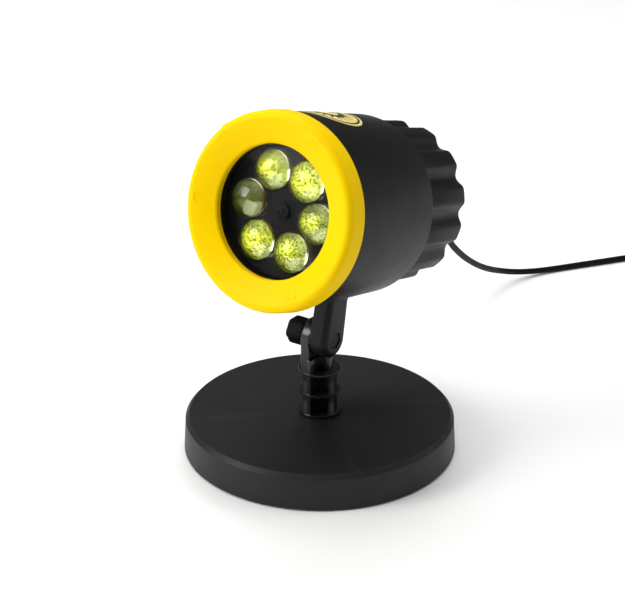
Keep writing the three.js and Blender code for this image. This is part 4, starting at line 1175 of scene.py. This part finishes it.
def flute_depth(angle):
    """Depth of the cap's scallops at an angle in degrees, with the lobes' corners softened."""
    pitch = 360 / CAP_LOBES
    spreads = (-1.2, -0.4, 0.4, 1.2)
    total = 0
    for spread in spreads:
        past = (angle + spread - CAP_PHASE + CAP_LOBE_WIDTH / 2) % pitch - CAP_LOBE_WIDTH
        total += CAP_SCALLOP * sin(pi * (max(0, past) / (pitch - CAP_LOBE_WIDTH)))
    return total / len(spreads)


def fluted_ring(radius, station, per_lobe=24):
    ring = []
    for i in range(CAP_LOBES * per_lobe):
        angle = 360 * i / (CAP_LOBES * per_lobe)
        x, z = polar(radius - flute_depth(angle), radians(angle))
        ring.append((x, station, z))
    return ring


def cap_radius(station):
    return 44.6 - 0.7 * (station - CAP_FRONT) / (CAP_REAR - CAP_FRONT)


def cap_outside():
    """Fluted outside: a small chamfer in front, straight flutes, and the rounded rear edge."""
    rings = [fluted_ring(cap_radius(CAP_FRONT) - cut, CAP_FRONT + back)
             for cut, back in ((0.5, 0), (0.15, 0.15), (0, 0.5))]
    for k in range(11):
        turn = pi / 2 * k / 10
        station = CAP_REAR - CAP_EDGE * (1 - sin(turn))
        rings.append(fluted_ring(cap_radius(station) - CAP_EDGE * (1 - cos(turn)), station))
    return loft(rings)


def cap_inside():
    return loft([fluted_ring(cap_radius(station) - CAP_WALL, station, 12)
                 for station in (CAP_FRONT + 2.4, CAP_REAR - CAP_WALL)])


def cap_object():
    towers = mesh_object("cap_towers", joined(*at_cap_screws(rod(5, CAP_FRONT, CAP_REAR), 36)))
    combine(towers, "INTERSECT", cap_outside())
    made = mesh_object("vented_cap", cap_outside())
    combine(made, "DIFFERENCE", cap_inside(), lathe(rod(38.4, 80, 85)))
    combine_object(made, "UNION", towers)
    combine(made, "UNION", lathe(rounded([(38.4, 79.1, 0.2), (44.0, 79.1, 0.3), (44.0, CAP_FRONT + 0.6),
                                          (38.4, CAP_FRONT + 0.6), (38.4, 79.4)])))
    head_hole = rounded([(0, 86.4), (3.3, 86.4), (3.3, CAP_REAR - 0.7, 0.2), (4.3, CAP_REAR + 0.3),
                         (0, CAP_REAR + 0.3)])
    combine(made, "DIFFERENCE", *at_cap_screws(head_hole, 48), *at_cap_screws(rod(1.9, 78, 87), 24),
            lathe(rod(6.3, 120, 130), 48))
    return declare(made, OPTICS, "head", BLACK, ("rear_cap",))


cap_object()
for number in range(1, 5):
    swing = Matrix.Rotation(-radians(CAP_SCREW_START + 90 * (number - 1)), 4, "Y")
    seat = Matrix.Translation((CAP_SCREW_CIRCLE, 88.7, 0)) @ Matrix.Rotation(pi, 4, "X")
    place = OPTICS @ swing @ seat
    screw_object(f"rear_screw_{number}", (3, 2, 1.35, 19), place, "head", f"cap_screw_{number}")


# ---- finishes of the CAD pieces that stay

CAD_FINISHES = {
    "ballast_plate": IRON, "motor_bracket": BLACK, "wheel_motor": STEEL, "motor_shaft": STEEL,
    "condenser_retainer": STEEL, "condenser_lens": LENS, "led_board": BOARD, "led_emitter": YELLOW,
    "heat_sink": ALUMINIUM, "driver_board": BOARD, "knob_insert": BRASS, "stem_screw": STEEL,
}
for node_name, finish_material in CAD_FINISHES.items():
    kept = frame["nodes"][node_name]
    kept.data.materials.clear()
    kept.data.materials.append(finish_material)


# ---- floor, lights and world

def floor_material():
    """Matt white paper sweep with a very fine tooth."""
    material, tree, shader, where = new_material("studio_floor")
    clouds = noise(tree, where, 3, 4)
    surface(tree, shader, mixed(tree, clouds, (0.93, 0.93, 0.925), (0.95, 0.95, 0.945)),
            spread(tree, clouds, 0.75, 0.85), noise(tree, where, 900, 3), 0.02)
    return material


def floor_shape(size=4000, steps=24):
    """Large level sheet, finer near the middle."""
    marks = [size * (2 * k / steps - 1) ** 3 for k in range(steps + 1)]
    vertices = [Vector((x, y, 0)) for y in marks for x in marks]
    count = steps + 1
    faces = [[j * count + i, j * count + i + 1, (j + 1) * count + i + 1, (j + 1) * count + i]
             for j in range(steps) for i in range(steps)]
    return vertices, faces


floor = mesh_object("floor", floor_shape())
floor.data.transform(GROUND)
floor.data.materials.append(floor_material())


def softbox(name, position, target, size, power, glossy=True):
    """Rectangular light turned to a target; one that isn't glossy is left out of reflections."""
    light = bpy.data.lights.new(name, "AREA")
    light.shape = "RECTANGLE"
    light.size, light.size_y = size
    light.energy = power
    made = linked(name, light)
    made.location = position
    made.rotation_euler = (Vector(target) - Vector(position)).to_track_quat("-Z", "Y").to_euler()
    made.visible_glossy = glossy


HEAD_CENTRE = (0, 0, 0.12)
WASHES = ((-2, 3.2, 95), (3, 2.6, 25), (2.2, -3.2, 25), (-3.2, -2.4, 25))  # place on the floor, power
softbox("overhead", (-0.25, 0.1, 1.5), (0, 0, 0), (1.5, 1.5), 18)
softbox("front_left", (-0.9, -1.1, 0.75), HEAD_CENTRE, (0.7, 0.9), 15)
softbox("back_right", (0.9, 0.9, 0.8), HEAD_CENTRE, (0.5, 0.9), 2)
for number, (x, y, power) in enumerate(WASHES, 1):
    softbox(f"wash_{number}", (x, y, 2.6), (x, y, 0), (3.2, 3.2), power, glossy=False)

world = bpy.data.worlds.new("studio")
bpy.context.scene.world = world
world.use_nodes = True
background = world.node_tree.nodes["Background"]
background.inputs["Color"].default_value = (1, 1, 1, 1)
background.inputs["Strength"].default_value = 0.12

view = bpy.context.scene.view_settings
view.view_transform = "Standard"
view.look = "None"
